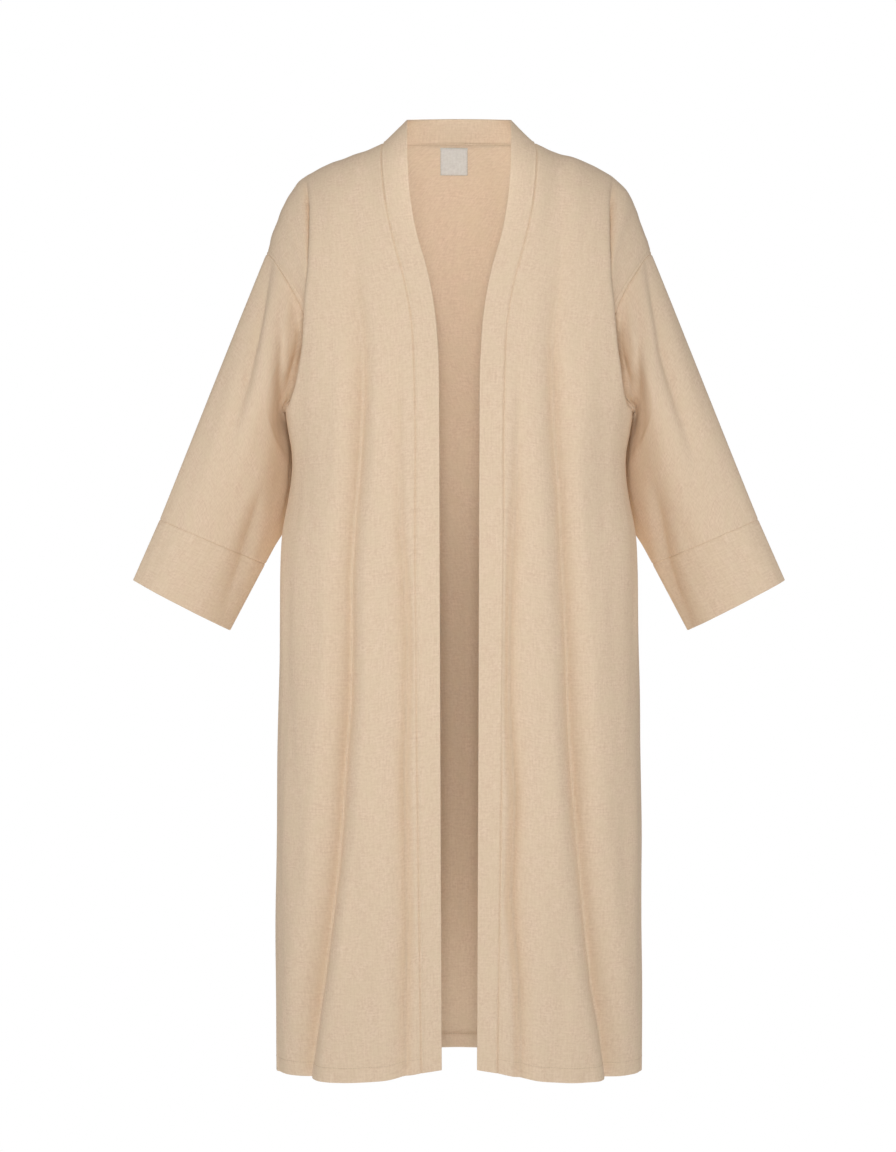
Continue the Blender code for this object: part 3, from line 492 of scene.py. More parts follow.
def fill(bottom, top, inner, outer):
    """A patch between four lines: bottom and top run across, inner and outer run up."""
    u = np.linspace(0.0, 1.0, len(bottom))[None, :, None]
    v = np.linspace(0.0, 1.0, len(inner))[:, None, None]
    across = (1 - v) * bottom[None] + v * top[None]
    up = (1 - u) * inner[:, None] + u * outer[:, None]
    low_corners = (1 - u) * (1 - v) * bottom[0] + u * (1 - v) * bottom[-1]
    corners = low_corners + (1 - u) * v * top[0] + u * v * top[-1]
    return across + up - corners


def ease(net, times, still):
    """The same patch with its middle evened out; its edges and the columns near its sides stay."""
    count = net.shape[1]
    index = np.arange(1, count - 1)
    share = np.clip((np.minimum(index, count - 1 - index) - still) / still, 0.0, 1.0)[None, :, None]
    for _ in range(times):
        around = net[:-2, 1:-1] + net[2:, 1:-1] + net[1:-1, :-2] + net[1:-1, 2:]
        net[1:-1, 1:-1] += (around / 4 - net[1:-1, 1:-1]) * share / 2
    return net


def shoulder_line():
    """The shoulder seam, evenly spread from the neck to the top of the sleeve."""
    half = np.linspace(SHOULDER[0].half_width, SHOULDER[-1].half_width, SHOULDER_SAMPLES)
    z = read(SHOULDER, "half_width", "height", half)
    return resample(np.stack([half, np.zeros(SHOULDER_SAMPLES), z], axis=1), FRONT_COLUMNS + 1)


def neck_line(half_width, side_depth, side_rise, back_depth, back_rise):
    """Half of a line round the back of the neck, from the back centre to the side."""
    angle = np.linspace(math.pi / 2, 0.0, NECK_COLUMNS + 1)
    x = half_width * np.cos(angle)
    y = side_depth + (back_depth - side_depth) * np.sin(angle)
    z = side_rise + (back_rise - side_rise) * np.sin(angle)
    return np.stack([x, y, z], axis=1)


def both_sides(half):
    """A net from the back centre to +X, carried on to -X as well."""
    return np.concatenate([half[:, ::-1], half[:, 1:] * MIRROR], axis=1)


def front_net():
    """The outer face of the front on +X, from the band seam to the side, hem up to shoulder."""
    rows = []
    for height in ROW_HEIGHTS:
        start = turn_at_width(height, float(read(BAND_SEAM, "height", "half_width", height)))
        end = turn_at_depth(height, float(read(SECTIONS, "height", "seam_depth", height)))
        rows.append(resample(body_line(height, start, end, ARC_SAMPLES), FRONT_COLUMNS + 1))
    rows[-1][-1] = ARMHOLE_LOW
    low = np.array(rows)
    turns = np.linspace(0.0, 1.0, HIGH_ROWS + 1)
    inner = band_line(turns, BAND_SEAM, NECK_HALF_WIDTH, 0.0, 0.0, -low[-1][0][1])
    inner[0] = low[-1][0]
    high = fill(low[-1], shoulder_line(), inner, armhole_line(1 - turns, False))
    return np.concatenate([low, high[1:]])


def back_net():
    """The outer face of the back, from the side on +X round to the side on -X."""
    count = NECK_COLUMNS + FRONT_COLUMNS + 1
    rows = []
    for height in ROW_HEIGHTS:
        end = turn_at_depth(height, float(read(SECTIONS, "height", "seam_depth", height)))
        rows.append(resample(body_line(height, 1.0, end, ARC_SAMPLES), count))
    rows[-1][-1] = ARMHOLE_LOW
    low = both_sides(np.array(rows))
    neck = neck_line(NECK_HALF_WIDTH, 0.0, 0.0, NECK_BACK_DEPTH, NECK_BACK_RISE)
    top = both_sides(np.concatenate([neck, shoulder_line()[1:]])[None])[0]
    side = armhole_line(1 - np.linspace(0.0, 1.0, HIGH_ROWS + 1), True)
    deepest = low[-1][count - 1][1]
    bend = np.sin(np.linspace(math.pi / 2, 0.0, HIGH_ROWS + 1))
    centre = np.stack([
        np.zeros(HIGH_ROWS + 1),
        NECK_BACK_DEPTH + (deepest - NECK_BACK_DEPTH) * bend,
        np.linspace(UNDERARM_HEIGHT, NECK_BACK_RISE, HIGH_ROWS + 1),
    ], axis=1)
    half = fill(low[-1][count - 1::-1], top[count - 1::-1], centre, side)
    high = ease(both_sides(half), BACK_EASING, STILL_COLUMNS)
    return np.concatenate([low, high[1:]])


def body_width_at(points):
    """Half width of the body at each point's own height and depth."""
    z = points[..., 2]
    half = read(SECTIONS, "height", "half_width", z)
    front = read(SECTIONS, "height", "front_depth", z)
    back = read(SECTIONS, "height", "back_depth", z)
    power = np.where(points[..., 1] < 0, FRONT_POWER, read(SECTIONS, "height", "back_power", z))
    depth = np.where(points[..., 1] < 0, front, back)
    share = np.clip(np.abs(points[..., 1]) / depth, 0.0, 1.0)
    return half * (1 - share ** power) ** (1 / power)


def ring(outer, inner, half_depth):
    """A flattened ring of the sleeve: underarm, front, outer corner, back, underarm."""
    outer = np.array(outer)
    inner = np.array(inner)
    front = np.linspace(1.0, 0.0, HIGH_ROWS + 1)
    back = np.linspace(0.0, -1.0, HIGH_ROWS + 1)
    turns = np.concatenate([front, back[1:]])
    angle = turns * math.pi
    centre = (outer + inner) / 2
    points = centre + (outer - centre) * np.cos(angle)[:, None]
    points[:, 1] -= half_depth * np.sign(angle) * np.abs(np.sin(angle)) ** RING_POWER
    return turns, points


def sleeve_net():
    """The outer face of the sleeve on +X, from the armhole down to the cuff seam."""
    turns, end = ring(SLEEVE_OUTER, SLEEVE_INNER, SLEEVE_HALF_DEPTH)
    front = armhole_line(np.linspace(1.0, 0.0, HIGH_ROWS + 1), False)
    back = armhole_line(np.linspace(0.0, 1.0, HIGH_ROWS + 1), True)
    start = np.concatenate([front, back[1:]])
    low = (1 - np.cos(turns * math.pi))[:, None] / 2
    swell = np.abs(np.sin(turns * math.pi))[:, None] * low
    leave = np.array(LEAVE_TOP) * (1 - low) + np.array(LEAVE_LOW) * low
    sides = np.where(turns[:, None] > 0, np.array(LEAVE_SWELL_FRONT), np.array(LEAVE_SWELL_BACK))
    leave = leave + sides * swell
    arrive = np.array(ARRIVE_TOP) * (1 - low) + np.array(ARRIVE_LOW) * low
    net = []
    for w in np.linspace(0.0, 1.0, SLEEVE_ROWS + 1):
        rise = w * w * (3 - 2 * w)
        row = start * (1 - rise) + end * rise + leave * w * (1 - w) ** 2 + arrive * w * w * (w - 1)
        lowest = np.array([float(read(UNDERARM_LINE, "step", axis, w)) for axis in "xyz"])
        share = max(0.0, 1 - w / UNDERARM_POWER_STEP)
        power = UNDERARM_POWER_LOW + (UNDERARM_POWER_HIGH - UNDERARM_POWER_LOW) * share
        row = row + (lowest - row[0]) * low ** power
        clear = body_width_at(row) + SLEEVE_CLEARANCE * min(1.0, w * CLEARANCE_RAMP)
        below = row[:, 2] < UNDERARM_HEIGHT
        row[:, 0] = np.where(below, np.maximum(row[:, 0], clear), row[:, 0])
        net.append(row)
    net[-1] = end
    return np.array(net)


def cuff_net():
    """The outer face of the cuff on +X, from the cuff seam to its end."""
    start = ring(SLEEVE_OUTER, SLEEVE_INNER, SLEEVE_HALF_DEPTH)[1]
    end = ring(CUFF_OUTER, CUFF_INNER, CUFF_HALF_DEPTH)[1]
    steps = np.linspace(0.0, 1.0, CUFF_ROWS + 1)[:, None, None]
    return start[None] * (1 - steps) + end[None] * steps


def band_edges():
    """The free edge of the band on +X and -X, hem up to neck, and the collar's top round the back."""
    turns = np.linspace(0.0, 1.0, HIGH_ROWS + 1)
    sides = {}
    for sign in (-1, 1):
        edge = []
        for height in ROW_HEIGHTS:
            half = float(read(BAND_EDGE, "height", "half_width", height))
            start = turn_at_width(height, half)
            edge.append(body_line(height, start, start, 1)[0] * np.array([sign, 1, 1]))
        high = band_line(
            turns, BAND_EDGE, COLLAR_HALF_WIDTH, COLLAR_SIDE_DEPTH, COLLAR_SIDE_RISE, -edge[-1][1]
        )
        high[:, 0] *= sign
        sides[sign] = np.concatenate([np.array(edge), high[1:]])
    back_depth = NECK_BACK_DEPTH + COLLAR_LEAN
    top = neck_line(COLLAR_HALF_WIDTH, COLLAR_SIDE_DEPTH, COLLAR_SIDE_RISE, back_depth, COLLAR_BACK_RISE)
    return sides, np.concatenate([top[::-1] * MIRROR, top[1:]])


def smooth_line(net, places, closed=False, corners=()):
    """A net read at places along its rows, on a smooth curve that may turn sharply at corners."""
    count = len(net)
    cell = np.clip(np.floor(places).astype(int), 0, count - 2)
    t = (places - cell)[:, None, None]
    before = cell - 1
    after = cell + 2
    if closed:
        before = np.where(before < 0, count - 2, before)
        after = np.where(after > count - 1, 1, after)
    first = net[cell]
    second = net[cell + 1]
    last = count - 1
    zero = np.where((before < 0)[:, None, None], 2 * first - second, net[np.clip(before, 0, last)])
    third = np.where((after > last)[:, None, None], 2 * second - first, net[np.clip(after, 0, last)])
    for corner in corners:
        zero = np.where((cell == corner)[:, None, None], 2 * first - second, zero)
        third = np.where((cell + 1 == corner)[:, None, None], 2 * second - first, third)
    leave = (second - zero) / 2
    arrive = (third - first) / 2
    rise = t * t * (3 - 2 * t)
    return first * (1 - rise) + second * rise + leave * t * (1 - t) ** 2 + arrive * t * t * (t - 1)


def refine(net, row_places, column_places, closed=False, corners=()):
    """The smooth net through a coarse one, at the given places in cells."""
    rows = smooth_line(net, row_places)
    turned = smooth_line(np.swapaxes(rows, 0, 1), column_places, closed, corners)
    return np.swapaxes(turned, 0, 1)


def cell_lengths(net, axis):
    """The mean length of each cell of a net along one of its axes."""
    steps = np.linalg.norm(np.diff(net, axis=axis), axis=-1)
    return steps.mean(axis=1 - axis)


def places(lengths, per_cell):
    """Places along a net's cells: evenly divided, by a count or a length, with close lines at both ends."""
    found = [0.0]
    for index, length in enumerate(lengths):
        count = per_cell if isinstance(per_cell, int) else max(1, round(length / per_cell))
        found += [index + (k + 1) / count for k in range(count)]
    found += [line / lengths[0] for line in EDGE_LINES]
    found += [len(lengths) - line / lengths[-1] for line in EDGE_LINES]
    found = np.array(sorted(found))
    keep = [0]
    for k in range(1, len(found)):
        near_end = found[-1] - found[k]
        if found[k] - found[keep[-1]] > CLOSEST_LINES or near_end == 0.0:
            keep.append(k)
    return found[keep]


def lengths_along(net, axis):
    """Each point's distance along its row (axis 1) or column (axis 0), from its start."""
    steps = np.linalg.norm(np.diff(net, axis=axis), axis=-1)
    start = np.zeros_like(np.take(steps, [0], axis=axis))
    return np.concatenate([start, np.cumsum(steps, axis=axis)], axis=axis)


def outward(net, closed=False):
    """The outward direction at every point of a net, when its columns run on round the body."""
    if closed:
        wide = np.concatenate([net[:, -2:-1], net, net[:, 1:2]], axis=1)
        across = wide[:, 2:] - wide[:, :-2]
    else:
        across = np.concatenate([
            net[:, 1:2] - net[:, :1], net[:, 2:] - net[:, :-2], net[:, -1:] - net[:, -2:-1]
        ], axis=1)
    up = np.concatenate([net[1:2] - net[:1], net[2:] - net[:-2], net[-1:] - net[-2:-1]], axis=0)
    return unit(np.cross(unit(across), unit(up)))


def from_fold(net, rows):
    """Each point's distance from a drawn line, its side, and the line's depth and spread there."""
    x = net[..., 0]
    z = net[..., 2]
    away = np.full(x.shape, FAR_AWAY)
    side = np.zeros(x.shape)
    deep = np.zeros(x.shape)
    spread = np.ones(x.shape)
    for first, second in zip(rows, rows[1:]):
        dx = second.x - first.x
        dz = second.z - first.z
        size = math.hypot(dx, dz)
        t = ((x - first.x) * dx + (z - first.z) * dz) / size ** 2
        inside = np.clip(t, 0.0, 1.0)
        # Where off is negative, the point lies on the left.
        off = ((x - first.x) * dz - (z - first.z) * dx) / size
        here = np.hypot(off, (t - inside) * size)
        left = first.left + (second.left - first.left) * inside
        right = first.right + (second.right - first.right) * inside
        nearer = here < away
        away = np.where(nearer, here, away)
        side = np.where(nearer, np.where(off < 0, 1.0, -1.0), side)
        deep = np.where(nearer, first.depth + (second.depth - first.depth) * inside, deep)
        spread = np.where(nearer, np.where(off < 0, left, right), spread)
    return away, side, deep, spread


def drawn_depth(net, folds, sharp=True):
    """How deep the drawn folds lie at each point of a net, by its own x and height."""
    depth = np.zeros(net.shape[:2])
    for rows in folds.values():
        away, _, deep, spread = from_fold(net, rows)
        if sharp:
            away = np.hypot(away, FOLD_BOTTOM) - FOLD_BOTTOM
            depth += deep * np.clip(1 - away / (FOLD_REACH * spread), 0, 1) ** 2
        else:
            depth += deep * np.exp(-((away / spread) ** 2))
    return depth


def lip_depth(net):
    """How deep the valleys beside the two lips lie: a long soft dip with a sharp groove in it."""
    depth = drawn_depth(net, LIP_FOLDS, sharp=False)
    for rows in LIP_FOLDS.values():
        away, _, deep, _ = from_fold(net, rows)
        depth += deep * LIP_GROOVE * np.clip(1 - away / LIP_GROOVE_REACH, 0, 1) ** 2
    return depth


def lean_lip(net, rows):
    """The sideways shift that leans the steep side of a lip out over its valley."""
    away, side, deep, _ = from_fold(net, rows)
    outer = np.sign(rows[0].x)
    body_side = np.where(side * outer < 0, 1.0, 0.0)
    share = np.exp(-(((away - LIP_LEAN_AT) / LIP_LEAN_SPREAD) ** 2)) * body_side
    return outer * LIP_LEAN * share * deep / LIP_DEPTH


def ripple_height(across, along, share=1.0):
    """The slow unevenness of the cloth at distances across and along it."""
    height = np.zeros(across.shape)
    for wave in RIPPLES:
        drift = DRIFT * np.sin(along * 2 * math.pi / (wave.along * DRIFT_LENGTH) + wave.phase * DRIFT_PHASE)
        sideways = np.sin(across * 2 * math.pi / wave.across + drift + wave.phase)
        down = np.sin(along * 2 * math.pi / wave.along + wave.phase * ALONG_PHASE)
        height += wave.height * sideways * down
    return height * share


def seam_press(distance):
    """How far the cloth dips beside a seam, by its distance from it."""
    return SEAM_PRESS * np.exp(-((distance / SEAM_SPREAD) ** 2))


def topstitch_groove(distance, z):
    """The groove of the topstitching beside the armhole, by the distance from it and the height."""
    above = np.clip((z - UNDERARM_HEIGHT) / TOPSTITCH_FADE, 0, 1)
    return above * TOPSTITCH_DEPTH * np.exp(-(((distance - TOPSTITCH_IN) / TOPSTITCH_SPREAD) ** 2))


def round_edge(distance, wall):
    """How far the outer face turns in at a folded edge, by its distance from it."""
    reach = wall / 2
    share = np.clip(1 - distance / reach, 0.0, 1.0)
    return reach * (1 - np.sqrt(1 - share ** 2)) * EDGE_ROUNDING


def edge_run(net, edge, layer):
    """The points of a net that lie a number of lines in from one of its edges."""
    if edge == "first_column":
        return net[:, layer]
    if edge == "last_column":
        return net[:, -1 - layer]
    if edge == "first_row":
        return net[layer]
    return net[-1 - layer]


def meet(first, first_edge, first_run, second, second_edge, second_run):
    """Bring two nets together along a seam, and fade the shift out over the lines beside it."""
    gap = edge_run(second, second_edge, 0)[second_run] - edge_run(first, first_edge, 0)[first_run]
    for layer in range(EASE_LINES):
        share = 0.5 * (1 - layer / EASE_LINES) ** 2
        edge_run(first, first_edge, layer)[first_run] += gap * share
        edge_run(second, second_edge, layer)[second_run] -= gap * share


class Cloth:
    """A net of outer points with the direction and thickness of its wall."""

    def __init__(self, name, net, wall, closed=False, flip=False):
        self.name = name
        self.net = net
        self.closed = closed
        self.flip = flip
        self.way = outward(net, closed) * (-1 if flip else 1)
        self.wall = np.full(net.shape[:2], wall)
        self.across = lengths_along(net, 1)
        self.along = lengths_along(net, 0)

    def press(self, depth):
        """Press the outer face in by a depth at every point."""
        self.net = self.net - self.way * depth[..., None]

    def renew(self):
        """Read the outward directions again after the net has moved."""
        self.way = outward(self.net, self.closed) * (-1 if self.flip else 1)


def share_seams(pieces):
    """Give the walls that meet at a point one direction, except where they almost lie back to back."""
    meeting = {}
    for piece in pieces:
        rows, columns = piece.net.shape[:2]
        for j in range(rows):
            for i in (range(columns) if j in (0, rows - 1) else (0, columns - 1)):
                key = tuple(np.round(piece.net[j, i] / SAME_POINT).astype(int))
                meeting.setdefault(key, []).append((piece, j, i))
    for members in meeting.values():
        if len(members) < 2:
            continue
        middle = unit(sum(piece.way[j, i] for piece, j, i in members))
        for piece, j, i in members:
            lean = float(np.dot(piece.way[j, i], middle))
            t = min(max((lean - LEAN_APART) / (LEAN_SHARED - LEAN_APART), 0.0), 1.0)
            weight = t * t * (3 - 2 * t)
            way = unit(piece.way[j, i] * (1 - weight) + middle * weight)
            piece.wall[j, i] /= max(float(np.dot(way, piece.way[j, i])), MITRE_LIMIT)
            piece.way[j, i] = way


def finish_mesh(bm, name, material, smooth=True):
    """Turn a bmesh into a piece that rides on the cloak."""
    mesh = bpy.data.meshes.new(name)
    bm.to_mesh(mesh)
    bm.free()
    mesh.polygons.foreach_set("use_smooth", [smooth] * len(mesh.polygons))
    mesh.materials.append(material)
    made = bpy.data.objects.new(name, mesh)
    bpy.context.scene.collection.objects.link(made)
    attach(made, BODY)
    return made


def sew_cloth(piece, material):
    """A wall of cloth from a piece's net, with its threads' run as a UV map in metres."""
    rows, columns = piece.net.shape[:2]
    bm = bmesh.new()
    bmesh.ops.create_grid(bm, x_segments=columns - 1, y_segments=rows - 1, size=0.5)
    inward = bm.verts.layers.float_vector.new("inward")
    threads = bm.loops.layers.uv.new("threads")
    place = {}
    for vert in bm.verts:
        i = round((vert.co.x + 0.5) * (columns - 1))
        j = round((vert.co.y + 0.5) * (rows - 1))
        place[vert] = (piece.across[j, i], piece.along[j, i])
        vert.co = piece.net[j, i]
        vert[inward] = -piece.way[j, i] * piece.wall[j, i]
    for face in bm.faces:
        for loop in face.loops:
            loop[threads].uv = place[loop.vert]
    if piece.closed:
        bmesh.ops.remove_doubles(bm, verts=bm.verts, dist=1e-6)
    walls = bmesh.ops.extrude_face_region(bm, geom=bm.faces[:])
    for part in walls["geom"]:
        if isinstance(part, bmesh.types.BMVert):
            part.co += part[inward]
    bmesh.ops.recalc_face_normals(bm, faces=bm.faces)
    return finish_mesh(bm, piece.name, material)


def weld_corners(pieces):
    """Bring the corners of pieces that meet to one point."""
    near = [(piece, j, i) for piece in pieces for j in (0, -1) for i in (0, -1)]
    for piece, j, i in near:
        point = piece.net[j, i].copy()
        group = [(p, a, b) for p, a, b in near if np.linalg.norm(p.net[a, b] - point) < CORNER_REACH]
        middle = sum(p.net[a, b] for p, a, b in group) / len(group)
        for p, a, b in group:
            p.net[a, b] = middle


# The fine lines of the nets, in cells of the coarse ones, so that edges which meet have the same lines.
Lines = namedtuple("Lines", "rows low ring front back round neck_start neck_end")


def find_lines(front):
    """The fine lines of every net, from the coarse net of a front."""
    underarm = len(ROW_HEIGHTS) - 1
    rows = places(cell_lengths(front, 0), ROW_CELL)
    low = rows[rows <= underarm]
    ring_lines = np.arange(HIGH_ROWS * RING_CELL + 1) / RING_CELL
    rows = np.concatenate([low[:-1], underarm + ring_lines])
    front_columns = places(cell_lengths(front, 1), PANEL_CELL)
    neck_columns = np.arange(NECK_COLUMNS * PANEL_CELL + 1) / PANEL_CELL
    half = np.concatenate([neck_columns, NECK_COLUMNS + front_columns[1:]])
    middle = NECK_COLUMNS + FRONT_COLUMNS
    back = np.concatenate([middle - half[::-1], middle + half[1:]])
    whole_round = np.concatenate([HIGH_ROWS - ring_lines[::-1], HIGH_ROWS + ring_lines[1:]])
    neck_start = int(np.argmin(np.abs(back - (FRONT_COLUMNS + 2 * NECK_COLUMNS))))
    neck_end = int(np.argmin(np.abs(back - FRONT_COLUMNS)))
    return Lines(rows, len(low), ring_lines, front_columns, back, whole_round, neck_start, neck_end)


def cut_panels(front, lines):
    """The fronts, back, sleeves and cuffs, smooth as they are cut."""
    left_front = refine(front, lines.rows, lines.front)
    neck_corners = (FRONT_COLUMNS, FRONT_COLUMNS + 2 * NECK_COLUMNS)
    back = refine(back_net(), lines.rows, lines.back, corners=neck_corners)
    coarse_sleeve = sleeve_net()
    coarse_cuff = cuff_net()
    sleeve_rows = places(cell_lengths(coarse_sleeve, 0), SLEEVE_CELL)
    cuff_rows = places(cell_lengths(coarse_cuff, 0), CUFF_CELL)
    sleeve = refine(coarse_sleeve, sleeve_rows, lines.round, closed=True)
    cuff = refine(coarse_cuff, cuff_rows, lines.round, closed=True)
    return {
        "back_panel": Cloth("back_cloth", back, CLOTH_WALL),
        "left_front": Cloth("left_front_cloth", left_front, CLOTH_WALL),
        "right_front": Cloth("right_front_cloth", left_front * MIRROR, CLOTH_WALL, flip=True),
        "left_sleeve": Cloth("left_sleeve_cloth", sleeve, CLOTH_WALL, True, True),
        "right_sleeve": Cloth("right_sleeve_cloth", sleeve * MIRROR, CLOTH_WALL, True),
        "left_cuff": Cloth("left_cuff_cloth", cuff, CUFF_WALL, True, True),
        "right_cuff": Cloth("right_cuff_cloth", cuff * MIRROR, CUFF_WALL, True),
    }


def fold_panels(pieces):
    """Draw the folds and the slow unevenness of the fronts and the back."""
    for name in FRONTS:
        piece = pieces[name]
        seam_side = piece.across[:, -1:] - piece.across
        shift = LEFT_FRONT_SHIFT if name == "left_front" else 0.0
        fade = np.clip(piece.across / SEAM_FADE, 0, 1) * np.clip(seam_side / SEAM_FADE, 0, 1)
        depth = drawn_depth(piece.net, FRONT_FOLDS)
        depth = depth + ripple_height(piece.across + shift, piece.along + shift) * fade
        depth = depth + lip_depth(piece.net)
        lean = sum(lean_lip(piece.net, rows) for rows in LIP_FOLDS.values())
        piece.press(depth)
        piece.net[..., 0] += lean
    piece = pieces["back_panel"]
    seam_side = np.minimum(piece.across, piece.across[:, -1:] - piece.across)
    fade = np.clip(seam_side / SEAM_FADE, 0, 1)
    centred = piece.across - piece.across[:, -1:] / 2
    wave = ripple_height(centred, piece.along + BACK_SHIFT)
    piece.press(drawn_depth(piece.net, BACK_FOLDS) * fade + wave * fade)


def fold_arms(pieces, lines):
    """Draw the folds and the slow unevenness of the sleeves and cuffs."""
    facing = ring(SLEEVE_OUTER, SLEEVE_INNER, SLEEVE_HALF_DEPTH)[0]
    turn = smooth_line(facing[:, None, None], lines.round)[:, 0, 0]
    front_share, back_share = (
        (np.clip(way * TOP_FADE, 0, 1) * np.clip((1 - way) * UNDERARM_FADE, 0, 1))[None, :]
        for way in (turn, -turn)
    )
    for name in SLEEVES + CUFFS:
        piece = pieces[name]
        whole = piece.across[:, -1:]
        shift = 0.0 if name.startswith("left") else RIGHT_ARM_SHIFT
        wave = ripple_height(piece.across / whole * ARM_ROUND, piece.along + shift, ARM_SHARE)
        depth = drawn_depth(piece.net, SLEEVE_FRONT_FOLDS) * front_share
        depth = depth + lip_depth(piece.net) * front_share
        depth = depth + drawn_depth(piece.net, SLEEVE_BACK_FOLDS) * back_share
        piece.press(depth + wave * (front_share + back_share))


def cut_band(pieces, lines):
    """The band, along the folded fronts and the back's neck."""
    sides, collar = band_edges()
    neck = pieces["back_panel"].net[-1][lines.neck_end:lines.neck_start + 1][::-1]
    collar_places = np.linspace(0, 2 * NECK_COLUMNS, len(neck))
    collar_top = smooth_line(collar[:, None], collar_places)[:, 0]
    right, left = (smooth_line(sides[sign][:, None], lines.rows)[:, 0] for sign in (-1, 1))
    seam = np.concatenate([pieces["right_front"].net[:, 0], neck[1:-1], pieces["left_front"].net[::-1, 0]])
    edge = np.concatenate([right, collar_top[1:-1], left[::-1]])
    coarse = seam[:, None] * np.ones((1, BAND_COLUMNS + 1, 1))
    steps = np.linspace(0, 1, BAND_COLUMNS + 1)[None, :, None]
    coarse = coarse * (1 - steps) + edge[:, None] * steps
    columns = places(cell_lengths(coarse, 1), BAND_CELL)
    band = np.swapaxes(smooth_line(np.swapaxes(coarse, 0, 1), columns), 0, 1)
    piece = Cloth("front_band_cloth", band, BAND_WALL)
    wave = ripple_height(piece.across * BAND_STRETCH + BAND_SHIFT, piece.along, BAND_SHARE)
    piece.press(wave * np.clip(piece.across / BAND_FADE, 0, 1))
    return piece


def dip_seams(pieces):
    """Dip the cloth beside its seams, and turn in its folded edges."""
    for piece in pieces.values():
        piece.renew()
    for name in PANELS:
        piece = pieces[name]
        top = seam_press(piece.along[-1:] - piece.along)
        side = piece.across[:, -1:] - piece.across
        if name == "back_panel":
            side = np.minimum(piece.across, side)
            dip = seam_press(side) + NECK_SEAM_SHARE * top
        else:
            dip = BAND_SEAM_SHARE * seam_press(piece.across) + seam_press(side) + top
        piece.press(dip + round_edge(piece.along, HEM_WALL))
        piece.press(topstitch_groove(side, piece.net[..., 2]))
    for name in SLEEVES:
        piece = pieces[name]
        piece.press(seam_press(piece.along) + seam_press(piece.along[-1:] - piece.along))
    for name in CUFFS:
        piece = pieces[name]
        piece.press(seam_press(piece.along) + round_edge(piece.along[-1:] - piece.along, CUFF_WALL))
    piece = pieces["front_band"]
    ridge = BAND_RIDGE * np.exp(-(((piece.across - BAND_RIDGE_IN) / BAND_RIDGE_SPREAD) ** 2))
    relief = seam_press(piece.across) - ridge
    free, ends = free_edges(piece)
    piece.press(relief + round_edge(free, BAND_WALL) + round_edge(ends, BAND_WALL))
    piece.wall = piece.wall - relief


def free_edges(band):
    """Distances from the band's free edge, and from its lower ends."""
    return band.across[:, -1:] - band.across, np.minimum(band.along, band.along[-1:] - band.along)


def join_seams(pieces, lines):
    """Bring the edges together, the widest seams first."""
    every = slice(None)
    low_run = slice(0, lines.low)
    high_run = slice(lines.low - 1, None)
    count = len(lines.ring)
    ring_front = slice(0, count)
    ring_back = slice(2 * count - 2, count - 2, -1)
    body = pieces["back_panel"].net
    for side, body_edge, shoulder in (
        ("left", "first_column", slice(lines.neck_end, None, -1)),
        ("right", "last_column", slice(lines.neck_start, None)),
    ):
        front = pieces[side + "_front"].net
        arm = pieces[side + "_sleeve"].net
        meet(front, "last_column", low_run, body, body_edge, low_run)
        meet(front, "last_row", every, body, "last_row", shoulder)
        meet(arm, "first_row", ring_front, front, "last_column", high_run)
        meet(arm, "first_row", ring_back, body, body_edge, high_run)
        meet(arm, "last_row", every, pieces[side + "_cuff"].net, "first_row", every)
    band = pieces["front_band"].net
    length = len(band)
    rows = len(lines.rows)
    for run, other, edge, other_run in (
        (slice(0, rows), "right_front", "first_column", every),
        (slice(length - rows, length), "left_front", "first_column", slice(None, None, -1)),
        (
            slice(rows - 1, length - rows + 1), "back_panel", "last_row",
            slice(lines.neck_start, lines.neck_end - 1, -1),
        ),
    ):
        meet(band, "first_column", run, pieces[other].net, edge, other_run)
    weld_corners(pieces.values())


def set_walls(pieces):
    """Give each piece its wall: doubled at the hem, and thinner at rounded edges."""
    for piece in pieces.values():
        piece.renew()
    for name in PANELS:
        piece = pieces[name]
        turn_up = np.clip((HEM_HEIGHT + HEM_STEP - piece.along) / HEM_STEP, 0, 1)
        edge = 2 * round_edge(piece.along, HEM_WALL)
        piece.wall = CLOTH_WALL + (HEM_WALL - CLOTH_WALL) * turn_up - edge
    for name in CUFFS:
        piece = pieces[name]
        piece.wall = piece.wall - 2 * round_edge(piece.along[-1:] - piece.along, CUFF_WALL)
    piece = pieces["front_band"]
    free, ends = free_edges(piece)
    piece.wall = piece.wall - 2 * np.maximum(round_edge(free, BAND_WALL), round_edge(ends, BAND_WALL))
    for piece in pieces.values():
        piece.wall = np.maximum(piece.wall, THINNEST_WALL)
    share_seams(pieces.values())


_cut = {}


def cut_cloth():
    """Every panel of the cloak as a fine net, with its folds drawn and its seams met, made once."""
    if not _cut:
        coarse_front = front_net()
        lines = find_lines(coarse_front)
        pieces = cut_panels(coarse_front, lines)
        fold_panels(pieces)
        fold_arms(pieces, lines)
        pieces["front_band"] = cut_band(pieces, lines)
        dip_seams(pieces)
        join_seams(pieces, lines)
        set_walls(pieces)
        _cut.update(pieces)
    return _cut


def add_node(tree, kind, settings=None, links=None):
    """Add a shader node of a kind with its settings, and link its sockets."""
    made = tree.nodes.new("ShaderNode" + kind)
    for key, value in (settings or {}).items():
        if isinstance(key, int) or key in made.inputs:
            made.inputs[key].default_value = value
        else:
            setattr(made, key, value)
    for socket, source in (links or {}).items():
        tree.links.new(source, made.inputs[socket])
    return made


def new_material(name):
    """A material with nothing but its output node."""
    material = bpy.data.materials.new(name)
    material.use_nodes = True
    tree = material.node_tree
    tree.nodes.clear()
    return material, tree, add_node(tree, "OutputMaterial")


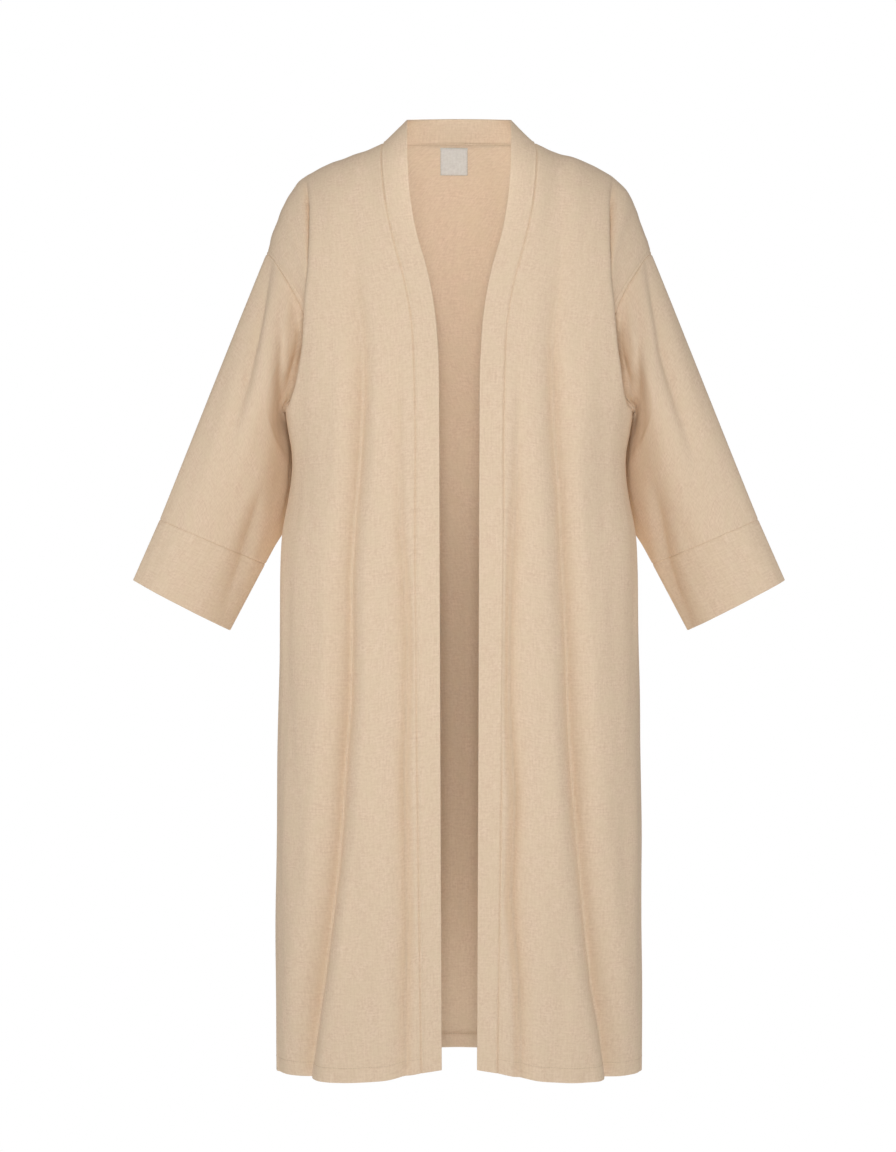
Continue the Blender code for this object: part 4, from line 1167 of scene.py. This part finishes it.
def linen(name, base, slub, dark, relief):
    """Plain weave, washed and pressed: a dull dry surface with uneven threads both ways."""
    material, tree, out = new_material(name)
    uv = add_node(tree, "UVMap", {"uv_map": "threads"})
    # Thick and thin places of the yarns, 2 mm wide so that they show, and 14 to 18 mm long.
    weft = add_node(tree, "Mapping", {"Scale": (70.0, 480.0, 1.0)}, {"Vector": uv.outputs[0]})
    warp = add_node(tree, "Mapping", {"Scale": (480.0, 55.0, 1.0)}, {"Vector": uv.outputs[0]})
    fine = {"Scale": 1.0, "Detail": 2.0, "Roughness": 0.55}
    weft_noise = add_node(tree, "TexNoise", fine, {"Vector": weft.outputs[0]})
    warp_noise = add_node(tree, "TexNoise", fine, {"Vector": warp.outputs[0]})
    crossed = {0: weft_noise.outputs[0], 1: warp_noise.outputs[0]}
    both = add_node(tree, "Math", {"operation": "ADD"}, crossed)
    # Flecks where light and dark fibres were spun together, about 3 mm, larger than life so that they show.
    flecks = {"Scale": 300.0, "Detail": 2.0, "Roughness": 0.6}
    fleck = add_node(tree, "TexNoise", flecks, {"Vector": uv.outputs[0]})
    mixed = {0: fleck.outputs[0], 2: both.outputs[0]}
    yarn = add_node(tree, "Math", {"operation": "MULTIPLY_ADD", 1: 1.5}, mixed)
    # Soft mottling of the dye over 20 to 40 mm.
    patch = add_node(tree, "TexNoise", {"Scale": 38.0, "Detail": 3.0}, {"Vector": uv.outputs[0]})
    thread = add_node(tree, "MapRange", {1: 1.42, 2: 2.08, 3: 0.0, 4: 1.0}, {0: yarn.outputs[0]})
    threads = {"data_type": "RGBA", 6: linear(dark), 7: linear(slub)}
    tint = add_node(tree, "Mix", threads, {0: thread.outputs[0]})
    cloud = add_node(tree, "MapRange", {1: 0.30, 2: 0.70, 3: 0.0, 4: 0.60}, {0: patch.outputs[0]})
    dyed = {"data_type": "RGBA", 7: linear(base)}
    colour = add_node(tree, "Mix", dyed, {0: cloud.outputs[0], 6: tint.outputs[2]})
    # The threads stand up by about a tenth of a millimetre and break up the light.
    bump = add_node(tree, "Bump", {"Strength": relief, "Distance": 0.00012}, {"Height": both.outputs[0]})
    shader = add_node(
        tree, "BsdfPrincipled",
        {"Roughness": 0.95, "Sheen Weight": 0.04, "Sheen Roughness": 0.5, "Specular IOR Level": 0.12},
        {"Base Color": colour.outputs[2], "Normal": bump.outputs[0]},
    )
    tree.links.new(shader.outputs[0], out.inputs[0])
    return material


def sewing_thread(name, base):
    """Spun polyester sewing thread: a little smoother and darker than the linen, with a faint gloss."""
    material, tree, out = new_material(name)
    place = add_node(tree, "TexCoord")
    # The twist of the ply, drawn 0.5 mm long.
    ply = {"Scale": 2000.0, "Detail": 1.0}
    twist = add_node(tree, "TexNoise", ply, {"Vector": place.outputs["Object"]})
    shade = add_node(tree, "MapRange", {1: 0.3, 2: 0.7, 3: 0.85, 4: 1.0}, {0: twist.outputs[0]})
    colour = add_node(
        tree, "Mix", {"data_type": "RGBA", "blend_type": "MULTIPLY", 0: 1.0, 6: linear(base)},
        {7: shade.outputs[0]},
    )
    shader = add_node(
        tree, "BsdfPrincipled", {"Roughness": 0.55, "Specular IOR Level": 0.35},
        {"Base Color": colour.outputs[2]},
    )
    tree.links.new(shader.outputs[0], out.inputs[0])
    return material


def studio_paper(name, base, glow):
    """Matt white paper for the floor, which glows a little so that it stays pale under the cloak."""
    material = bpy.data.materials.new(name)
    material.use_nodes = True
    shader = material.node_tree.nodes["Principled BSDF"]
    shader.inputs["Base Color"].default_value = linear(base)
    shader.inputs["Roughness"].default_value = 1.0
    shader.inputs["Specular IOR Level"].default_value = 0.0
    shader.inputs["Emission Color"].default_value = linear(base)
    shader.inputs["Emission Strength"].default_value = glow
    return material


def hex_colour(name, description, default):
    """A property for a colour as sRGB hex."""
    return StringProperty(name=name, description=description, default=default)


def metres(name, description, default):
    """A property for a length in metres."""
    return FloatProperty(
        name=name, description=description, default=default, subtype="DISTANCE", unit="LENGTH"
    )


def watts(name, description, default):
    """A property for a light's power in watts."""
    return FloatProperty(name=name, description=description, default=default, unit="POWER")


def strength(name, description, default):
    """A property for a strength without a unit."""
    return FloatProperty(name=name, description=description, default=default, min=0, max=1)


class ClothSettings(bpy.types.PropertyGroup):
    """Colours and surface of the cloth."""

    base: hex_colour("Linen", "The linen's middle colour", "#E2CDAF")
    slub: hex_colour("Thick threads", "Colour of the thick places in the yarn", "#EAD2B9")
    dark: hex_colour("Thin threads", "Colour between the threads", "#DCC1A6")
    label: hex_colour("Label", "Colour of the bare label", "#DCD9D2")
    thread: hex_colour("Thread", "Colour of the sewing thread", "#CDB394")
    relief: strength("Relief", "Strength of the threads' relief", 0.35)


class SewingSettings(bpy.types.PropertyGroup):
    """Sizes of the machine stitches."""

    stitch: metres("Stitch", "Length of a stitch", 0.0026)
    pitch: metres("Pitch", "From one stitch to the next", 0.0034)
    thickness: metres("Thread", "Thickness of the thread", 0.00036)
    sides: IntProperty(name="Sides", description="Faces round a stitch", default=4, min=3, max=8)


# A round floor of studio paper, well under the hanging hem.
FLOOR_RADIUS = 3.1
FLOOR_HEIGHT = -2.10
FLOOR_SEGMENTS = 96
# Beams in degrees: the neck light's is narrow, the others' are open.
NARROW_BEAM = 17
OPEN_BEAM = 180
# The right fill light is a little weaker, so the cloak's two sides are lit unequally.
RIGHT_FILL_SHARE = 0.85
# The inside light is a tall narrow strip between the fronts.
INSIDE_LIGHT_HEIGHT = 0.51
# The camera's sensor, in millimetres.
SENSOR_WIDTH = 36.0


class StageSettings(bpy.types.PropertyGroup):
    """Camera, light and floor."""

    paper: hex_colour("Paper", "Colour of the floor", "#FFFFFF")
    distance: metres("Distance", "From the camera to the cloak", 3.6)
    aim: FloatVectorProperty(
        name="Aim", description="Where the camera looks", default=(-0.0146, 0.0, -0.5759),
        subtype="TRANSLATION",
    )
    frame_height: metres("Frame height", "Height of the view at the cloak", 1.532)
    key: watts("Key light", "Power of the main light", 13.0)
    fill: watts("Fill lights", "Power of the left fill light", 20.5)
    neck: watts("Neck light", "Power of the narrow light on the neck", 0.020)
    inside: watts("Inside light", "Power of the light inside the open front", 0.195)
    back: watts("Back light", "Power of the light behind", 66.0)
    sky: strength("Room light", "Strength of the light all round", 0.18)
    glow: strength("Floor glow", "Strength of the floor's own light", 0.20)
    top: watts("Top light", "Power of the light above", 13.0)


class CLOAK_OT_panels(bpy.types.Operator):
    """Cut and hang the back and the two fronts"""

    bl_idname = "cloak.panels"
    bl_label = "Back and fronts"

    def execute(self, context):
        pieces = cut_cloth()
        cloth = cloth_material(context)
        for node, flat, area in (
            ("back_panel", (0.745, 1.260), 0.755),
            ("left_front", (0.252, 1.258), 0.270),
            ("right_front", (0.252, 1.258), 0.270),
        ):
            made = sew_cloth(pieces[node], cloth)
            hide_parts(node)
        return {"FINISHED"}


class CLOAK_OT_sleeves(bpy.types.Operator):
    """Cut and hang the sleeves and their cuffs"""

    bl_idname = "cloak.sleeves"
    bl_label = "Sleeves and cuffs"

    def execute(self, context):
        pieces = cut_cloth()
        cloth = cloth_material(context)
        for sleeve_node, cuff_node in zip(SLEEVES, CUFFS):
            sleeve = sew_cloth(pieces[sleeve_node], cloth)
            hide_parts(sleeve_node)
            cuff = sew_cloth(pieces[cuff_node], cloth)
            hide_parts(cuff_node)
        return {"FINISHED"}


class CLOAK_OT_band(bpy.types.Operator):
    """Cut and sew the continuous front band with its standing collar"""

    bl_idname = "cloak.band"
    bl_label = "Front band"

    def execute(self, context):
        band = sew_cloth(cut_cloth()["front_band"], cloth_material(context))
        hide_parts("front_band")
        return {"FINISHED"}


class CLOAK_OT_label(bpy.types.Operator):
    """Sew the bare label inside the back, under the neck seam"""

    bl_idname = "cloak.label"
    bl_label = "Label"

    def execute(self, context):
        settings = context.scene.cloak_cloth
        back = cut_cloth()["back_panel"]
        inner = back.net - back.way * (back.wall + LABEL_GAP)[..., None]
        depth = back.along[-1:] - back.along
        near = np.abs(inner[-1, :, 0]) < LABEL_SEARCH
        patch = inner[:, near]
        down = depth[:, near]
        half = LABEL_SIDE / 2
        places_across = np.linspace(LABEL_CENTRE + half, LABEL_CENTRE - half, LABEL_LINES)
        net = []
        for drop in np.linspace(LABEL_DROP + LABEL_SIDE, LABEL_DROP, LABEL_LINES):
            line = np.array([
                [np.interp(drop, down[::-1, k], patch[::-1, k, axis]) for axis in range(3)]
                for k in range(patch.shape[1])
            ])
            line = line[np.argsort(line[:, 0])]
            net.append([
                [np.interp(x, line[:, 0], line[:, axis]) for axis in range(3)] for x in places_across
            ])
        piece = Cloth("label_cloth", np.array(net), LABEL_WALL)
        across = piece.across * LABEL_CREASES_ACROSS
        piece.press(ripple_height(across, piece.along * LABEL_CREASES_DOWN, LABEL_CREASE))
        cut_cloth()["label"] = piece
        # Woven as the linen is, but finer to the eye: paler, with hardly any relief.
        material = linen("satin_label", settings.label, LABEL_LIGHT, LABEL_DARK, LABEL_RELIEF)
        made = sew_cloth(piece, material)
        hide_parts("label")
        return {"FINISHED"}


# The hem's stitches run this far below the top of its turn-up.
HEM_STITCH_IN = 0.0015
SHORTEST_STITCH = 1e-5
# A thread's middle stands out of the cloth by this share of its thickness.
THREAD_RISE = 0.25


def stitch_row(bm, points, ways, settings):
    """A row of machine stitches along a line of points on the cloth."""
    steps = np.linalg.norm(np.diff(points, axis=0), axis=1)
    along = np.concatenate([[0.0], np.cumsum(steps)])
    count = int(along[-1] / settings.pitch)
    for k in range(count):
        ends = (k * settings.pitch, k * settings.pitch + settings.stitch)
        start, end = (Vector([np.interp(e, along, points[:, a]) for a in range(3)]) for e in ends)
        way = Vector([float(np.interp(ends[0], along, ways[:, a])) for a in range(3)]).normalized()
        run = end - start
        if run.length < SHORTEST_STITCH:
            continue
        radius = settings.thickness / 2
        made = bmesh.ops.create_cone(
            bm, cap_ends=True, segments=settings.sides, radius1=radius, radius2=radius, depth=run.length
        )
        turn = run.to_track_quat("Z", "Y").to_matrix().to_4x4()
        bmesh.ops.transform(bm, matrix=turn, verts=made["verts"])
        middle = (start + end) / 2 + way * settings.thickness * THREAD_RISE
        bmesh.ops.translate(bm, vec=middle, verts=made["verts"])


class CLOAK_OT_stitches(bpy.types.Operator):
    """Sew the hem of the fronts and back, and the edge of the label"""

    bl_idname = "cloak.stitches"
    bl_label = "Stitches"

    def execute(self, context):
        settings = context.scene.cloak_sewing
        cloth = context.scene.cloak_cloth
        pieces = cut_cloth()
        thread = sewing_thread("polyester_thread", cloth.thread)
        for node in PANELS:
            piece = pieces[node]
            row = int(np.argmin(np.abs(piece.along[:, 0] - (HEM_HEIGHT - HEM_STITCH_IN))))
            bm = bmesh.new()
            stitch_row(bm, piece.net[row], piece.way[row], settings)
            inner = piece.net[row] - piece.way[row] * piece.wall[row][:, None]
            stitch_row(bm, inner, -piece.way[row], settings)
            finish_mesh(bm, node + "_hem_stitches", thread, smooth=False)
        piece = pieces["label"]
        face = piece.net - piece.way * piece.wall[..., None]
        bm = bmesh.new()
        for edge in ("first_row", "last_row", "first_column", "last_column"):
            stitch_row(bm, edge_run(face, edge, 0), -edge_run(piece.way, edge, 0), settings)
        finish_mesh(bm, "label_stitches", thread, smooth=False)
        return {"FINISHED"}


class CLOAK_OT_stage(bpy.types.Operator):
    """Set the pale floor, the soft studio light and the camera"""

    bl_idname = "cloak.stage"
    bl_label = "Stage"

    def execute(self, context):
        scene = context.scene
        settings = scene.cloak_stage
        scene.view_settings.view_transform = "Standard"

        bm = bmesh.new()
        bmesh.ops.create_circle(bm, cap_ends=True, segments=FLOOR_SEGMENTS, radius=FLOOR_RADIUS)
        bmesh.ops.translate(bm, vec=(0, 0, FLOOR_HEIGHT), verts=bm.verts)
        mesh = bpy.data.meshes.new("paper_floor")
        bm.to_mesh(mesh)
        bm.free()
        mesh.materials.append(studio_paper("seamless_paper", settings.paper, settings.glow))
        floor = bpy.data.objects.new("paper_floor", mesh)
        scene.collection.objects.link(floor)

        # The room gives a soft light from all sides, and is plain white where the floor ends.
        world = bpy.data.worlds.new("studio")
        world.use_nodes = True
        tree = world.node_tree
        tree.nodes.clear()
        out = add_node(tree, "OutputWorld")
        room = add_node(tree, "Background", {0: (1, 1, 1, 1), 1: settings.sky})
        white = add_node(tree, "Background", {0: (1, 1, 1, 1), 1: 1.0})
        ray = add_node(tree, "LightPath")
        shaders = {0: ray.outputs["Is Camera Ray"], 1: room.outputs[0], 2: white.outputs[0]}
        both = add_node(tree, "MixShader", links=shaders)
        tree.links.new(both.outputs[0], out.inputs[0])
        scene.world = world

        right_fill = settings.fill * RIGHT_FILL_SHARE
        # The key stands just in front of the lens, so that it reaches through the open front.
        for name, place, look, size, power, spread in (
            ("key", (-0.015, -1.9, -0.34), (0.0, 0.0, -0.40), 0.22, settings.key, OPEN_BEAM),
            ("neck", (0.0, -1.7, -0.03), (0.0, 0.08, -0.04), 0.10, settings.neck, NARROW_BEAM),
            ("fill_left", (-2.3, -1.5, -0.10), (0.0, 0.0, -0.60), 1.6, settings.fill, OPEN_BEAM),
            ("fill_right", (2.3, -1.5, -0.10), (0.0, 0.0, -0.60), 1.6, right_fill, OPEN_BEAM),
            ("inside", (0.0, -0.10, -0.240), (0.0, 0.10, -0.240), 0.02, settings.inside, OPEN_BEAM),
            ("back", (0.0, 3.0, 0.0), (0.0, 0.0, -0.60), 2.6, settings.back, OPEN_BEAM),
            ("top", (0.0, -0.3, 2.2), (0.0, 0.0, 0.0), 2.0, settings.top, OPEN_BEAM),
        ):
            light = bpy.data.lights.new(name, "AREA")
            light.size = size
            light.energy = power
            light.spread = math.radians(spread)
            if name == "inside":
                light.shape = "RECTANGLE"
                light.size_y = INSIDE_LIGHT_HEIGHT
            lamp = bpy.data.objects.new(name, light)
            lamp.location = place
            lamp.rotation_euler = (Vector(look) - Vector(place)).to_track_quat("-Z", "Y").to_euler()
            lamp.visible_camera = False
            scene.collection.objects.link(lamp)

        aim = Vector(settings.aim)
        camera_data = bpy.data.cameras.new("camera")
        camera_data.sensor_fit = "AUTO"
        camera_data.sensor_width = SENSOR_WIDTH
        camera_data.lens = SENSOR_WIDTH * settings.distance / settings.frame_height
        camera = bpy.data.objects.new("camera", camera_data)
        camera.location = aim - Vector((0, settings.distance, 0))
        camera.rotation_euler = (math.pi / 2, 0, 0)
        scene.collection.objects.link(camera)
        scene.camera = camera
        return {"FINISHED"}


def cloth_material(context):
    """The linen of the whole cloak, made once."""
    found = bpy.data.materials.get("washed_linen")
    if found:
        return found
    settings = context.scene.cloak_cloth
    return linen("washed_linen", settings.base, settings.slub, settings.dark, settings.relief)


class CLOAK_PT_sidebar(bpy.types.Panel):
    """The steps of the cloak, in order"""

    bl_label = "Abaya cloak"
    bl_idname = "CLOAK_PT_sidebar"
    bl_space_type = "VIEW_3D"
    bl_region_type = "UI"
    bl_category = "Cloak"

    def draw(self, context):
        for group in (context.scene.cloak_cloth, context.scene.cloak_sewing, context.scene.cloak_stage):
            box = self.layout.box()
            for name in group.__annotations__:
                box.prop(group, name)
        for step in STEPS:
            self.layout.operator(step.bl_idname)


STEPS = (
    CLOAK_OT_panels, CLOAK_OT_sleeves, CLOAK_OT_band, CLOAK_OT_label, CLOAK_OT_stitches, CLOAK_OT_stage,
)
GROUPS = {"cloak_cloth": ClothSettings, "cloak_sewing": SewingSettings, "cloak_stage": StageSettings}


def register():
    for group in GROUPS.values():
        bpy.utils.register_class(group)
    for name, group in GROUPS.items():
        setattr(bpy.types.Scene, name, PointerProperty(type=group))
    for step in STEPS:
        bpy.utils.register_class(step)
    bpy.utils.register_class(CLOAK_PT_sidebar)


def unregister():
    bpy.utils.unregister_class(CLOAK_PT_sidebar)
    for step in reversed(STEPS):
        bpy.utils.unregister_class(step)
    for name in GROUPS:
        delattr(bpy.types.Scene, name)
    for group in reversed(list(GROUPS.values())):
        bpy.utils.unregister_class(group)


def main():
    register()
    bpy.ops.cloak.panels()
    bpy.ops.cloak.sleeves()
    bpy.ops.cloak.band()
    bpy.ops.cloak.label()
    bpy.ops.cloak.stitches()
    bpy.ops.cloak.stage()


if __name__ == "__main__":
    main()
